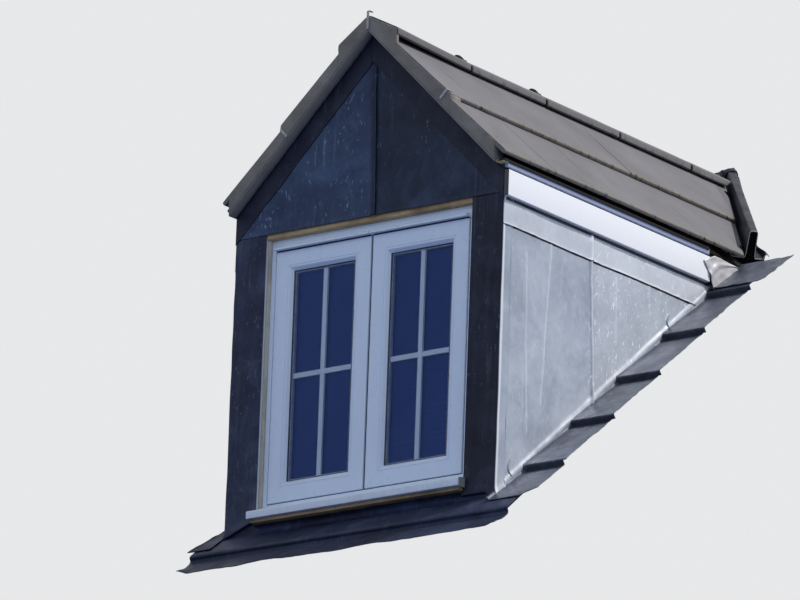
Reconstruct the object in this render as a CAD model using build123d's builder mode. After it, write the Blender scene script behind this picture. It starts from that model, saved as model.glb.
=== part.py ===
import os
from math import ceil, cos, radians, sin, sqrt, tan

from build123d import *

os.makedirs("parts", exist_ok=True)

# A gabled dormer window that stands on a sloping tiled roof.
# X runs across the gable, Y runs back into the roof and Z is up.
# The origin is on the seat plane, in the middle of the front sole plate.

# The roof that carries the dormer
main_pitch = 40.0
tile_rise = 75.0
nose_offset = 213.0

# The gable and its walls, built up round the window
gable_pitch = 45.0
post_width = 133.0
head_to_eave = 85.0
verge_overhang = 45.0

# Timber frame, boards and lead
stud_depth = 95.0
stud_width = 47.0
stud_bay = 200.0
ply_thickness = 18.0
plaster_thickness = 12.5
lead_thickness = 2.2
seat_gap = 0.3
spare_length = 400.0

# Window, with its base counted from the tile line at the front wall
window_width = 880.0
window_height = 975.0
window_base_height = 86.0
window_recess = 28.0
frame_depth = 60.0
frame_rail = 62.0
frame_head_show = 46.0
frame_side_show = 22.0
frame_foot_show = 19.0
sash_rail = 75.0
sash_depth = 40.0
sash_proud = 3.0
sash_gap = 9.0
bead_slope = 9.0
glass_back_set = 13.0
glass_thickness = 4.0
glass_cavity = 14.0
glass_grip = 12.0
spacer_width = 7.0
bar_width = 18.0
bar_depth = 8.0

# Sill, drip bars and timber packers
sill_projection = 69.0
sill_nose = 28.0
sill_drop = 45.0
sill_horn = 16.0
jamb_packer = 8.0
head_packer = 17.0
packer_depth = 38.0
packer_set = 5.0
sill_packer = 15.0
sill_packer_inset = 11.0
drip_height = 14.0
drip_projection = 15.0

# Gable roof
rafter_depth = 95.0
rafter_spacing = 400.0
ridge_board_thickness = 25.0
batten_height = 25.0
batten_width = 50.0
valley_board = 12.0
valley_board_width = 260.0
eave_fillet_height = 9.0
eave_fillet_width = 36.0
eave_fillet_reach = 30.0

# Tiles, ridge and verge; the gauge is the main roof's
tile_thickness = 15.0
tile_length = 420.0
head_lap = 10.0
tile_gauge = 345.0
tile_overhang = 15.0
course_count = 2
head_set = 59.3
valley_gap = 50.0
ridge_half_width = 130.0
ridge_pitch = 29.0
ridge_thickness = 14.0
ridge_lip = 26.0
ridge_length = 450.0
ridge_joint = 5.0
ridge_set = 8.6
ridge_bed = 34.0
verge_inset = 4.0
clip_width = 10.0
clip_thickness = 1.5
clip_hook = 26.0
clip_leg = 58.0
strap_stand = 26.0
strap_leg = 42.0

# Fascia
fascia_thickness = 18.0
fascia_height = 117.0
fascia_eave_gap = 19.8
fascia_stand_off = 3.0
fascia_rear_gap = 58.0

# Lead laps and flashings
rake_strip_width = 73.0
gable_seam = 18.0
seam_width = 20.0
seam_height = 9.0
corner_fold = 55.0
cheek_strip_height = 105.0
cheek_strip_tuck = 60.0
cheek_seam_back = 530.0
side_flashing_width = 175.0
apron_drop = 235.0
apron_side = 140.0
gusset_spread = 60.0

# Valley trough with its tall middle rib
rib_height = 92.0
rib_base = 30.0
rib_top = 12.0
channel_width = 52.0
outer_channel_width = 30.0
trough_fold = 8.0
trough_thickness = 2.5
trough_tail = 25.0
saddle_reach = 62.0
saddle_depth = 46.0
saddle_thickness = 3.0

main = radians(main_pitch)
gable = radians(gable_pitch)


def seat(y):
    """Height of the seat plane at y."""
    return y * tan(main)


def tiles(y):
    """Height of the main roof's tile tops at y."""
    return seat(y) + tile_rise / cos(main)


def tile_y(z):
    """Depth at which the main roof's tile tops reach the height z."""
    return (z - tile_rise / cos(main)) / tan(main)


def slope(apex, x):
    """Height of a gable slope with the given apex, at x to either side."""
    return apex - abs(x) * tan(gable)


# Depths through the front wall, from the lead inwards
ply_back = -stud_depth / 2
ply_front = ply_back - ply_thickness
wall_face = ply_front - lead_thickness
frame_back = stud_depth / 2
lining_back = frame_back + plaster_thickness
verge_face = wall_face - verge_overhang
tile_line = tiles(wall_face)

# Distances out from the middle through a cheek
opening_half = window_width / 2 + jamb_packer
cheek_face = opening_half + post_width
cheek_ply_out = cheek_face - lead_thickness
cheek_frame_out = cheek_ply_out - ply_thickness
cheek_frame_in = cheek_frame_out - stud_depth
cheek_inside = cheek_frame_in - plaster_thickness
fascia_back = cheek_face + fascia_stand_off
fascia_face = fascia_back + fascia_thickness

# Heights
window_base = tile_line + window_base_height
window_top = window_base + window_height
window_middle = window_base + window_height / 2
window_front = wall_face + window_recess
sill_under = window_base - sill_drop
opening_base = sill_under - sill_packer
opening_top = window_top + head_packer
opening_height = opening_top - opening_base
opening_middle = (opening_top + opening_base) / 2
rafter_apex = opening_top + head_to_eave + cheek_face * tan(gable)
under_apex = rafter_apex - rafter_depth / cos(gable)
ceiling_apex = under_apex - plaster_thickness / cos(gable)

# What follows a roof is drawn too long and is then cut by the roof it meets
reach = rafter_apex / tan(main) + spare_length
seat_plane = Plane(origin=(0, 0, 0), x_dir=(1, 0, 0), z_dir=(0, -sin(main), cos(main)))
tile_plane = seat_plane.offset(tile_rise)

# The gable's own gauge fills its slope from the eave to the ridge. A course falls by its thickness
# over the gauge, so the gauge is the root of a square equation.
tile_edge = fascia_face + tile_overhang
head_level = batten_height + tile_thickness
top_nose = head_set + tile_length - head_lap
courses_above = course_count - 1
slope_left = (tile_edge - head_level * sin(gable)) / cos(gable) - top_nose
root = sqrt(slope_left ** 2 - 4 * courses_above * tile_length * tile_thickness * tan(gable))
slope_gauge = (slope_left + root) / (2 * courses_above)

# The nose of a tile, its levels square out from the rafters
slope_fall = tile_thickness / slope_gauge
nose_under = batten_height + tile_length * slope_fall
nose_top = nose_under + tile_thickness
tile_apex = rafter_apex + nose_top / cos(gable)
nose_runs = [top_nose + i * slope_gauge for i in reversed(range(course_count))]
head_runs = [run - tile_length for run in nose_runs]
nose_arris = rafter_apex - nose_runs[0] * sin(gable) + nose_under * cos(gable)
fascia_top = nose_arris - fascia_eave_gap
fascia_base = fascia_top - fascia_height
ridge_apex = rafter_apex + head_level / cos(gable) - ridge_set

# The valley runs back from the eave as the dormer's tile plane meets the main roof's
valley_run = tan(gable) / tan(main)

# Noses of the main roof's courses, as distances up that roof
first_nose = wall_face / cos(main) + tile_rise * tan(main) + nose_offset


def front_plane(y):
    """A plane across the gable at y, with X to the right and Z up. It faces forward."""
    return Plane(origin=(0, y, 0), x_dir=(1, 0, 0), z_dir=(0, -1, 0))


def slope_section(y):
    """A section of the right slope at y: down the slope from the apex, then square out of it."""
    return Plane(
        origin=(0, y, rafter_apex), x_dir=(cos(gable), 0, -sin(gable)), z_dir=(0, -1, 0))


def roof_section(x):
    """A section of the main roof at x: up the slope from the seat, then square out of it."""
    return Plane(origin=(x, 0, 0), x_dir=(0, cos(main), sin(main)), z_dir=(1, 0, 0))


def valley_cut(gap):
    """An upright plane along the right valley, moved forward by a gap in y. It faces back."""
    y = tile_y(tile_apex) - gap
    return Plane(
        origin=(0, y, 0), x_dir=(0, 0, 1), z_dir=(tan(gable), tan(main), 0))


def tile_level(v):
    """Level of the main roof's tile tops at v up the slope, square out from the seat."""
    return tile_rise - ((v - first_nose) % tile_gauge) * tile_thickness / tile_gauge


def up_slope(y):
    """Distance up the main roof's section of the tile surface at y."""
    near = y / cos(main) + tile_rise * tan(main)
    return y / cos(main) + tile_level(near) * tan(main)


def tile_top(y):
    """Height of the tile surface itself at y, between one nose and the next."""
    return seat(y) + tile_level(up_slope(y)) / cos(main)


def sheet_on_tiles(low, high):
    """Lead in the roof section, dressed over the noses of the tile courses."""
    under = [(low, tile_level(low))]
    over = [(low, tile_level(low) + lead_thickness)]
    nose = first_nose + ceil((low + lead_thickness - first_nose) / tile_gauge) * tile_gauge
    while nose < high:
        under += [(nose, tile_rise - tile_thickness), (nose, tile_rise)]
        over += [
            (nose - lead_thickness, tile_rise - tile_thickness + lead_thickness),
            (nose - lead_thickness, tile_rise + lead_thickness)]
        nose += tile_gauge
    under.append((high, tile_level(high)))
    over.append((high, tile_level(high) + lead_thickness))
    Polygon(*under, *reversed(over), align=None)


def house(half_width, apex, low):
    """A house-shaped face between the line z = low and both slopes."""
    Polygon(
        (-half_width, low), (half_width, low), (half_width, slope(apex, half_width)),
        (0, apex), (-half_width, slope(apex, half_width)), align=None)


def window_hole():
    """The rough opening for the window, its sill and its packers."""
    with Locations((0, opening_middle)):
        Rectangle(2 * opening_half, opening_height, mode=Mode.SUBTRACT)


def mirrored(piece):
    """The same piece on the left side."""
    with BuildPart() as other:
        mirror(piece.part, about=Plane.YZ)
    return other


def save(piece, name):
    piece.part.label = name
    export_step(piece.part, f"parts/{name}.step")


def save_pair(piece, name):
    save(piece, name + "_right")
    save(mirrored(piece), name + "_left")


# Front frame: posts, head, cill rail, sole plate and the studs of the gable
with BuildPart() as front_frame:
    with BuildSketch(front_plane(ply_back)):
        house(cheek_frame_out, under_apex, seat(ply_back))
        window_hole()
        # Open bays between the gable studs
        bay_foot = opening_top + 2 * stud_width
        bay_in = stud_width / 2
        bay_out = bay_in + stud_bay
        bay_apex = under_apex - stud_width / cos(gable)
        for side in (1, -1):
            Polygon(
                (side * bay_in, bay_foot), (side * bay_out, bay_foot),
                (side * bay_out, slope(bay_apex, bay_out)), (side * bay_in, slope(bay_apex, bay_in)),
                align=None, mode=Mode.SUBTRACT)
    extrude(amount=-stud_depth)
    split(bisect_by=seat_plane, keep=Keep.TOP)
save(front_frame, "front_frame")

# Cheek frame: bevelled wall plate, upright studs and a sole plate that follows the roof
plate_top_out = slope(under_apex, cheek_frame_out)
plate_top_in = slope(under_apex, cheek_frame_in)
plate_under = plate_top_out - stud_width
sole_rise = stud_width / cos(main)
bay_end = (plate_under - sole_rise) / tan(main)
with BuildPart() as cheek_frame:
    with BuildSketch(front_plane(frame_back)):
        Polygon(
            (cheek_frame_in, seat(frame_back)), (cheek_frame_out, seat(frame_back)),
            (cheek_frame_out, plate_top_out), (cheek_frame_in, plate_top_in), align=None)
    extrude(amount=-reach)
    split(bisect_by=seat_plane, keep=Keep.TOP)
    with BuildSketch(Plane.YZ.offset(cheek_frame_in)):
        start = frame_back + stud_width
        while start < bay_end - stud_width:
            end = min(start + stud_bay, bay_end - seat_gap)
            Polygon(
                (start, seat(start) + sole_rise), (end, seat(end) + sole_rise),
                (end, plate_under), (start, plate_under), align=None)
            start = end + stud_width
    extrude(amount=stud_depth, mode=Mode.SUBTRACT)
save_pair(cheek_frame, "cheek_frame")

# Ridge board, as deep as the rafters' plumb cut
board_half = ridge_board_thickness / 2
board_top = slope(rafter_apex, board_half)
with BuildPart() as ridge_board:
    with BuildSketch(front_plane(ply_back)):
        with Locations((0, (board_top + under_apex) / 2)):
            Rectangle(ridge_board_thickness, board_top - under_apex)
    extrude(amount=-reach)
    split(bisect_by=seat_plane, keep=Keep.TOP)
save(ridge_board, "ridge_board")

# Valley board on the rafters, level with the underside of the trough
fillet_in = fascia_face - eave_fillet_width
with BuildPart() as valley_boarding:
    with BuildSketch(slope_section(ply_back)):
        Polygon(
            (0, 0), (nose_runs[0], 0), (nose_runs[0], valley_board), (0, valley_board), align=None)
    extrude(amount=-reach)
    split(bisect_by=valley_cut(valley_board_width - seat_gap), keep=Keep.TOP)
    split(bisect_by=valley_cut(-valley_board_width), keep=Keep.BOTTOM)
    split(bisect_by=Plane.YZ.offset(fascia_back), keep=Keep.BOTTOM)
    split(bisect_by=seat_plane, keep=Keep.TOP)

# Battens under the heads of the tiles, and the eave fillet with its backing
with BuildPart() as battens:
    with BuildSketch(slope_section(ply_back)):
        for run in head_runs:
            with Locations((run + batten_width / 2, batten_height / 2)):
                Rectangle(batten_width, batten_height)
    extrude(amount=-reach)
    with BuildSketch(front_plane(wall_face - eave_fillet_reach)):
        with Locations((fascia_face - eave_fillet_width / 2, fascia_top + eave_fillet_height / 2)):
            Rectangle(eave_fillet_width, eave_fillet_height)
    extrude(amount=-reach)
    with BuildSketch(front_plane(ply_back)):
        Polygon(
            (fillet_in, slope(rafter_apex, fillet_in)),
            (fascia_back, slope(rafter_apex, fascia_back)),
            (fascia_back, fascia_top), (fillet_in, fascia_top), align=None)
    extrude(amount=-reach)
    split(bisect_by=valley_cut(valley_board_width), keep=Keep.BOTTOM)

# Rafters with plumb-cut feet, under the battens and the valley board
rafter_count = int(reach / rafter_spacing) + 1
with BuildPart() as roof_frame:
    for i in range(rafter_count):
        with BuildSketch(front_plane(ply_back + i * rafter_spacing)):
            Polygon(
                (board_half, slope(rafter_apex, board_half)),
                (cheek_frame_out, slope(rafter_apex, cheek_frame_out)),
                (cheek_frame_out, slope(under_apex, cheek_frame_out)),
                (board_half, slope(under_apex, board_half)), align=None)
        extrude(amount=-stud_width)
    split(bisect_by=seat_plane, keep=Keep.TOP)
    add(battens.part)
    add(valley_boarding.part)
save_pair(roof_frame, "roof_frame")

# Plywood over the front frame
with BuildPart() as front_sheathing:
    with BuildSketch(front_plane(ply_front)):
        house(cheek_ply_out, rafter_apex, seat(ply_front))
        window_hole()
    extrude(amount=-ply_thickness)
    split(bisect_by=seat_plane, keep=Keep.TOP)
save(front_sheathing, "front_sheathing")

# Plywood over a cheek and the rafters' feet
with BuildPart() as cheek_sheathing:
    with BuildSketch(front_plane(ply_back)):
        Polygon(
            (cheek_frame_out, seat(ply_back)), (cheek_ply_out, seat(ply_back)),
            (cheek_ply_out, slope(rafter_apex, cheek_ply_out)),
            (cheek_frame_out, slope(rafter_apex, cheek_frame_out)), align=None)
    extrude(amount=-reach)
    split(bisect_by=seat_plane, keep=Keep.TOP)
save_pair(cheek_sheathing, "cheek_sheathing")

# Plasterboard inside: one cheek and the sloping ceiling above it
with BuildPart() as lining:
    with BuildSketch(front_plane(lining_back)):
        Polygon(
            (cheek_frame_in, seat(lining_back)), (cheek_frame_in, plate_top_in), (0, under_apex),
            (0, ceiling_apex), (cheek_inside, slope(ceiling_apex, cheek_inside)),
            (cheek_inside, seat(lining_back)), align=None)
    extrude(amount=-reach)
    split(bisect_by=seat_plane, keep=Keep.TOP)
save_pair(lining, "lining")

# Plasterboard on the inner face of the front wall
with BuildPart() as front_lining:
    with BuildSketch(front_plane(frame_back)):
        house(cheek_frame_in, under_apex, seat(frame_back))
        window_hole()
    extrude(amount=-plaster_thickness)
    split(bisect_by=seat_plane, keep=Keep.TOP)
save(front_lining, "front_lining")

# Inner window board, tongued under the back of the frame
board_front = window_front + frame_depth + seat_gap
with BuildPart() as window_board:
    with BuildSketch(Plane.YZ.offset(-opening_half)):
        Polygon(
            (board_front, window_base - ply_thickness), (lining_back, window_base - ply_thickness),
            (lining_back, window_base), (board_front, window_base), align=None)
        with Locations((lining_back + ply_thickness / 2, window_base - ply_thickness / 2)):
            Rectangle(ply_thickness, ply_thickness)
        Polygon(
            (board_front, opening_base), (lining_back, opening_base),
            (lining_back, window_base - ply_thickness),
            (board_front, window_base - ply_thickness), align=None)
    extrude(amount=2 * opening_half)
    nose = edges().filter_by(Axis.X).group_by(Axis.Y)[-1]
    fillet(nose, radius=ply_thickness / 3)
save(window_board, "window_board")

# Gable lead in two bays with an upright roll seam between them
bay_edge = gable_seam - seat_gap
with BuildPart() as gable_lead_right:
    with BuildSketch(front_plane(wall_face)):
        Polygon(
            (gable_seam, opening_top), (cheek_face, opening_top),
            (cheek_face, slope(rafter_apex, cheek_face)), (gable_seam, slope(rafter_apex, gable_seam)),
            align=None)
    extrude(amount=-lead_thickness)
    # The seam stands off the wall and stops under the rake strips
    seam_top = slope(rafter_apex, gable_seam + seam_width) - rake_strip_width / cos(gable)
    with BuildSketch(Plane.XY.offset(opening_top)):
        with Locations((gable_seam + seam_width / 2, wall_face)):
            Ellipse(seam_width / 2, seam_height)
            with Locations((0, seam_height)):
                Rectangle(2 * seam_width, 2 * seam_height, mode=Mode.SUBTRACT)
    extrude(amount=seam_top - opening_top)
save(gable_lead_right, "gable_lead_right")

with BuildPart() as gable_lead_left:
    with BuildSketch(front_plane(wall_face)):
        Polygon(
            (bay_edge, opening_top), (-cheek_face, opening_top),
            (-cheek_face, slope(rafter_apex, cheek_face)), (0, rafter_apex),
            (bay_edge, slope(rafter_apex, bay_edge)), align=None)
    extrude(amount=-lead_thickness)
save(gable_lead_left, "gable_lead_left")

# Strips of lead dressed down both rakes, over the bays
strip_drop = rake_strip_width / cos(gable)
with BuildPart() as rake_strips:
    with BuildSketch(front_plane(wall_face - lead_thickness)):
        Polygon(
            (0, rafter_apex), (cheek_face, slope(rafter_apex, cheek_face)),
            (cheek_face, slope(rafter_apex, cheek_face) - strip_drop), (0, rafter_apex - strip_drop),
            (-cheek_face, slope(rafter_apex, cheek_face) - strip_drop),
            (-cheek_face, slope(rafter_apex, cheek_face)), align=None)
    extrude(amount=-lead_thickness)
save(rake_strips, "rake_strips")

# Lead down a front post, folded back over the corner on to the cheek
post_top = opening_top - seat_gap
post_foot_gap = 3 * lead_thickness
post_foot = tile_top(wall_face) + post_foot_gap
fold_y = wall_face + corner_fold
with BuildPart() as post_lead:
    with BuildSketch(front_plane(wall_face)):
        with Locations(((opening_half + cheek_face) / 2, (post_top + post_foot) / 2)):
            Rectangle(cheek_face - opening_half, post_top - post_foot)
    extrude(amount=-lead_thickness)
    with BuildSketch(Plane.YZ.offset(cheek_ply_out)):
        Polygon(
            (wall_face, post_foot), (fold_y, tile_top(fold_y) + post_foot_gap), (fold_y, post_top),
            (wall_face, post_top), align=None)
    extrude(amount=lead_thickness)
save_pair(post_lead, "post_lead")

# Front apron: a low upstand under the sill, turned out over the tiles as a wide skirt
apron_top = opening_base - seat_gap
with BuildPart() as front_apron:
    with BuildSketch(front_plane(wall_face)):
        with Locations((0, (apron_top + tile_top(wall_face)) / 2)):
            Rectangle(2 * (opening_half - seat_gap), apron_top - tile_top(wall_face))
    extrude(amount=-lead_thickness)
    with BuildSketch(roof_section(-cheek_face - apron_side)):
        skirt_top = up_slope(wall_face) + lead_thickness / 2
        sheet_on_tiles(skirt_top - apron_drop, skirt_top)
    extrude(amount=2 * (cheek_face + apron_side))
save(front_apron, "front_apron")

# Lead on a cheek in two bays, with a welt that folds the front bay over the rear one
strip_base = fascia_base - cheek_strip_height
seam_y = wall_face + cheek_seam_back
bay_top = fascia_base - seat_gap
lift = (lead_thickness + seat_gap) / cos(main)
with BuildPart() as cheek_lead:
    with BuildSketch(Plane.YZ.offset(cheek_ply_out)):
        start = fold_y + seat_gap
        Polygon(
            (start, tiles(start) + lift), (seam_y, tiles(seam_y) + lift), (seam_y, bay_top),
            (start, bay_top), align=None)
        start = seam_y + seat_gap
        Polygon(
            (start, tiles(start) + lift), (tile_y(bay_top - lift), bay_top), (start, bay_top),
            align=None)
    extrude(amount=lead_thickness)
    with BuildSketch(Plane.XY.offset(tiles(seam_y) + 2 * lift)):
        with Locations((cheek_face, seam_y - seam_width / 2)):
            Ellipse(seam_height / 2, seam_width / 2)
            with Locations((-seam_height, 0)):
                Rectangle(2 * seam_height, 2 * seam_width, mode=Mode.SUBTRACT)
    extrude(amount=strip_base - tiles(seam_y) - 2 * lift)
save_pair(cheek_lead, "cheek_lead")

# Cover strip along the top of a cheek, tucked up behind the fascia
strip_top = fascia_base + cheek_strip_tuck
with BuildPart() as cheek_strip:
    with BuildSketch(Plane.YZ.offset(cheek_face)):
        Polygon(
            (wall_face, strip_base), (tile_y(strip_base - lift), strip_base),
            (tile_y(strip_top - lift), strip_top), (wall_face, strip_top), align=None)
    extrude(amount=lead_thickness)
save_pair(cheek_strip, "cheek_strip")

# Side flashing: lead that steps up over the tile courses beside the cheek
flash_low = up_slope(wall_face) + lead_thickness / 2 + seat_gap
flash_high = up_slope(tile_y(fascia_base))
with BuildPart() as side_flashing:
    with BuildSketch(roof_section(cheek_ply_out)):
        sheet_on_tiles(flash_low, flash_high)
    extrude(amount=lead_thickness + side_flashing_width)
save_pair(side_flashing, "side_flashing")

# Gussets behind the fascias: an upright leaf and a flap on the tiles under the valley
gusset_top_y = tile_y(fascia_top)
gusset_front = tile_y(fascia_base) - fascia_rear_gap
with BuildPart() as gusset:
    with BuildSketch(Plane.YZ.offset(fascia_back)):
        Polygon(
            (gusset_front + seat_gap, fascia_base + lift), (tile_y(fascia_base), fascia_base + lift),
            (gusset_top_y, fascia_top), (gusset_front + seat_gap, fascia_top),
            align=None)
    extrude(amount=lead_thickness)
    with BuildSketch(roof_section(fascia_back)):
        sheet_on_tiles(flash_high + seat_gap, up_slope(gusset_top_y))
    extrude(amount=side_flashing_width + gusset_spread)
with BuildPart() as valley_gussets:
    add(gusset.part)
    mirror(gusset.part, about=Plane.YZ)
save(valley_gussets, "valley_gussets")

# Window frame: a deep outer ring, and behind the sashes a narrower one with a middle post
sash_width = window_width / 2 - frame_side_show - sash_gap / 2
sash_height = window_height - frame_head_show - frame_foot_show
sash_x = (sash_width + sash_gap) / 2
sash_z = window_base + frame_foot_show + sash_height / 2
light = (window_width - 3 * frame_rail) / 2
rebate = sash_depth + seat_gap
with BuildPart() as window_frame:
    with BuildSketch(front_plane(window_front)):
        with Locations((0, window_middle)):
            Rectangle(window_width, window_height)
        with Locations((0, sash_z)):
            Rectangle(
                2 * (sash_x + sash_width / 2) + 2 * seat_gap, sash_height + 2 * seat_gap,
                mode=Mode.SUBTRACT)
    extrude(amount=-rebate)
    with BuildSketch(front_plane(window_front + rebate)):
        with Locations((0, window_middle)):
            Rectangle(window_width, window_height)
        for side in (1, -1):
            with Locations((side * (light + frame_rail) / 2, sash_z)):
                Rectangle(light, sash_height - frame_rail, mode=Mode.SUBTRACT)
    extrude(amount=rebate - frame_depth)
save(window_frame, "window_frame")

# Casement sash with a sloping bead round the glass and a groove for the sealed unit
pane_width = sash_width - 2 * sash_rail
pane_height = sash_height - 2 * sash_rail
sash_front = window_front - sash_proud
unit_front = sash_front + glass_back_set
unit_depth = 2 * glass_thickness + glass_cavity
with BuildPart() as sash:
    with BuildSketch(front_plane(sash_front)):
        with Locations((sash_x, sash_z)):
            Rectangle(sash_width, sash_height)
            Rectangle(pane_width, pane_height, mode=Mode.SUBTRACT)
    extrude(amount=-sash_depth - sash_proud)
    faces_forward = edges().filter_by_position(Axis.Y, sash_front - seat_gap, sash_front + seat_gap)
    bead_edges = faces_forward.filter_by(
        lambda e: abs(e.center().X - sash_x) < sash_width / 2 - seat_gap
        and abs(e.center().Z - sash_z) < sash_height / 2 - seat_gap)
    chamfer(bead_edges, length=bead_slope)
    with BuildSketch(front_plane(unit_front)):
        with Locations((sash_x, sash_z)):
            Rectangle(
                pane_width + 2 * (glass_grip + seat_gap), pane_height + 2 * (glass_grip + seat_gap))
    extrude(amount=-unit_depth, mode=Mode.SUBTRACT)
save_pair(sash, "sash")

# Sealed units: an outer and an inner pane in each sash
with BuildPart() as window_glass:
    for start in (unit_front, unit_front + glass_thickness + glass_cavity):
        with BuildSketch(front_plane(start)):
            for side in (1, -1):
                with Locations((side * sash_x, sash_z)):
                    Rectangle(pane_width + 2 * glass_grip, pane_height + 2 * glass_grip)
        extrude(amount=-glass_thickness)
save(window_glass, "window_glass")

# Flat glazing bars between the panes, crossing in the middle, fixed to the spacer round the edge
with BuildPart() as window_bars:
    with BuildSketch(front_plane(unit_front + glass_thickness)):
        for side in (1, -1):
            with Locations((side * sash_x, sash_z)):
                Rectangle(pane_width + 2 * glass_grip, pane_height + 2 * glass_grip)
                Rectangle(
                    pane_width + 2 * glass_grip - 2 * spacer_width,
                    pane_height + 2 * glass_grip - 2 * spacer_width, mode=Mode.SUBTRACT)
    extrude(amount=-glass_cavity)
    with BuildSketch(front_plane(unit_front + glass_thickness + (glass_cavity - bar_depth) / 2)):
        for side in (1, -1):
            with Locations((side * sash_x, sash_z)):
                Rectangle(bar_width, pane_height + 2 * glass_grip - spacer_width)
                Rectangle(pane_width + 2 * glass_grip - spacer_width, bar_width)
    extrude(amount=-bar_depth)
save(window_bars, "window_bars")

# Drip bars on the frame's head, one over each sash
drip_base = sash_z + sash_height / 2 + seat_gap
with BuildPart() as drip_bars:
    with BuildSketch(Plane.YZ.offset(sash_x - sash_width / 2)):
        Polygon(
            (window_front, drip_base + drip_height),
            (window_front - drip_projection / 2, drip_base + drip_height),
            (window_front - drip_projection, drip_base + drip_height / 3),
            (window_front - drip_projection, drip_base), (window_front, drip_base), align=None)
    extrude(amount=sash_width)
    mirror(about=Plane.YZ)
save(drip_bars, "drip_bars")

# Sill with a sloping top, a deep nose and horns past the frame
nose_y = window_front - sill_projection
wall_stop = wall_face - seat_gap
with BuildPart() as window_sill:
    with BuildSketch(Plane.YZ.offset(-window_width / 2)):
        Polygon(
            (nose_y, sill_under), (nose_y, sill_under + sill_nose),
            (window_front - sash_proud, window_base - seat_gap),
            (window_front + frame_depth, window_base - seat_gap),
            (window_front + frame_depth, sill_under), align=None)
    extrude(amount=window_width)
    with BuildSketch(Plane.YZ.offset(-window_width / 2 - sill_horn)):
        Polygon(
            (nose_y, sill_under), (nose_y, sill_under + sill_nose),
            (wall_stop, sill_under + sill_nose + (wall_stop - nose_y) / 4), (wall_stop, sill_under),
            align=None)
    extrude(amount=window_width + 2 * sill_horn)
save(window_sill, "window_sill")

# Timber packers round the frame: over the head, down the jambs and under the sill
with BuildPart() as window_packers:
    with BuildSketch(front_plane(wall_face + packer_set)):
        with Locations((0, (window_top + opening_top) / 2)):
            Rectangle(2 * opening_half, head_packer)
        for side in (1, -1):
            with Locations(
                    (side * (opening_half - jamb_packer / 2), (sill_under + window_top) / 2)):
                Rectangle(jamb_packer, window_top - sill_under)
    extrude(amount=-packer_depth)
    with BuildSketch(Plane.YZ.offset(-opening_half)):
        Polygon(
            (nose_y + sill_packer_inset, opening_base), (window_front + frame_depth, opening_base),
            (window_front + frame_depth, sill_under), (nose_y + sill_packer_inset, sill_under),
            align=None)
    extrude(amount=2 * opening_half)
save(window_packers, "window_packers")

# Roof tiles of a slope, a solid for each course, lapped at the gauge and cut along the valley
with BuildPart() as roof_tiles:
    for run in nose_runs:
        head = run - tile_length + head_lap
        with BuildSketch(slope_section(verge_face)):
            Polygon(
                (run, nose_under + seat_gap), (run, nose_top),
                (head, nose_top - (run - head) * slope_fall),
                (head, nose_under - (run - head) * slope_fall + seat_gap), align=None)
        extrude(amount=-reach)
    split(bisect_by=valley_cut(valley_gap), keep=Keep.BOTTOM)
save_pair(roof_tiles, "roof_tiles")

# Verge: mortar on an undercloak, filling up to the underside of the tiles
verge_end = fillet_in
verge_back = ply_back - seat_gap


def tile_under(course, run):
    """Level of a course's underside at a distance down the slope."""
    return nose_under - (nose_runs[course] - run) * slope_fall


top_run = head_runs[1]
ridge_drop = ridge_thickness / cos(radians(ridge_pitch))
apex_bed = (ridge_apex - rafter_apex - ridge_drop - seat_gap) * cos(gable)
with BuildPart() as verge:
    with BuildSketch(slope_section(verge_face + verge_inset)):
        Polygon(
            (-ridge_half_width, 0), (nose_runs[0], 0), (nose_runs[0], tile_under(0, nose_runs[0])),
            (head_runs[0], tile_under(0, head_runs[0])), (head_runs[0], tile_under(1, head_runs[0])),
            (top_run, tile_under(1, top_run)), (top_run, apex_bed), (-ridge_half_width, apex_bed),
            align=None)
    extrude(amount=verge_face + verge_inset - verge_back)
    split(bisect_by=Plane.YZ, keep=Keep.TOP)
    split(bisect_by=Plane.YZ.offset(verge_end), keep=Keep.BOTTOM)
save_pair(verge, "verge")

# Ridge: angled tiles with turned-down lips, butted along the roof and cut where the roofs meet
ridge_fall = tan(radians(ridge_pitch))
ridge_edge = ridge_apex - ridge_half_width * ridge_fall
ridge_cut = tile_plane.offset(valley_gap * sin(main))
lip_in = ridge_half_width - ridge_thickness
with BuildPart() as ridge_tiles:
    start = verge_face
    while start < reach:
        with BuildSketch(front_plane(start)):
            for side in (1, -1):
                Polygon(
                    (0, ridge_apex), (side * ridge_half_width, ridge_edge),
                    (side * ridge_half_width, ridge_edge - ridge_lip),
                    (side * lip_in, ridge_edge - ridge_lip),
                    (side * lip_in, ridge_apex - ridge_drop - lip_in * ridge_fall),
                    (0, ridge_apex - ridge_drop), align=None)
        extrude(amount=ridge_joint - ridge_length)
        start += ridge_length
    split(bisect_by=ridge_cut, keep=Keep.TOP)
save(ridge_tiles, "ridge_tiles")

# Mortar that beds both edges of the ridge and fills its front end
bed_out = lip_in - seat_gap
bed_in = bed_out - ridge_bed


head_fall = (tile_length - head_lap) * slope_fall
head_x = (head_runs[-1] + head_lap) * cos(gable) + (nose_under - head_fall) * sin(gable) - seat_gap
head_x_top = head_x + tile_thickness * sin(gable) + seat_gap


def top_course(x):
    """Height of the upper course's top surface at x."""
    level = nose_top - (nose_runs[-1] - x / cos(gable)) * slope_fall
    level /= 1 + tan(gable) * slope_fall
    return slope(rafter_apex, x) + level / cos(gable)


def under_ridge(x):
    """Height of the ridge tiles' underside at x."""
    return ridge_apex - ridge_drop - x * ridge_fall - seat_gap


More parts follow.
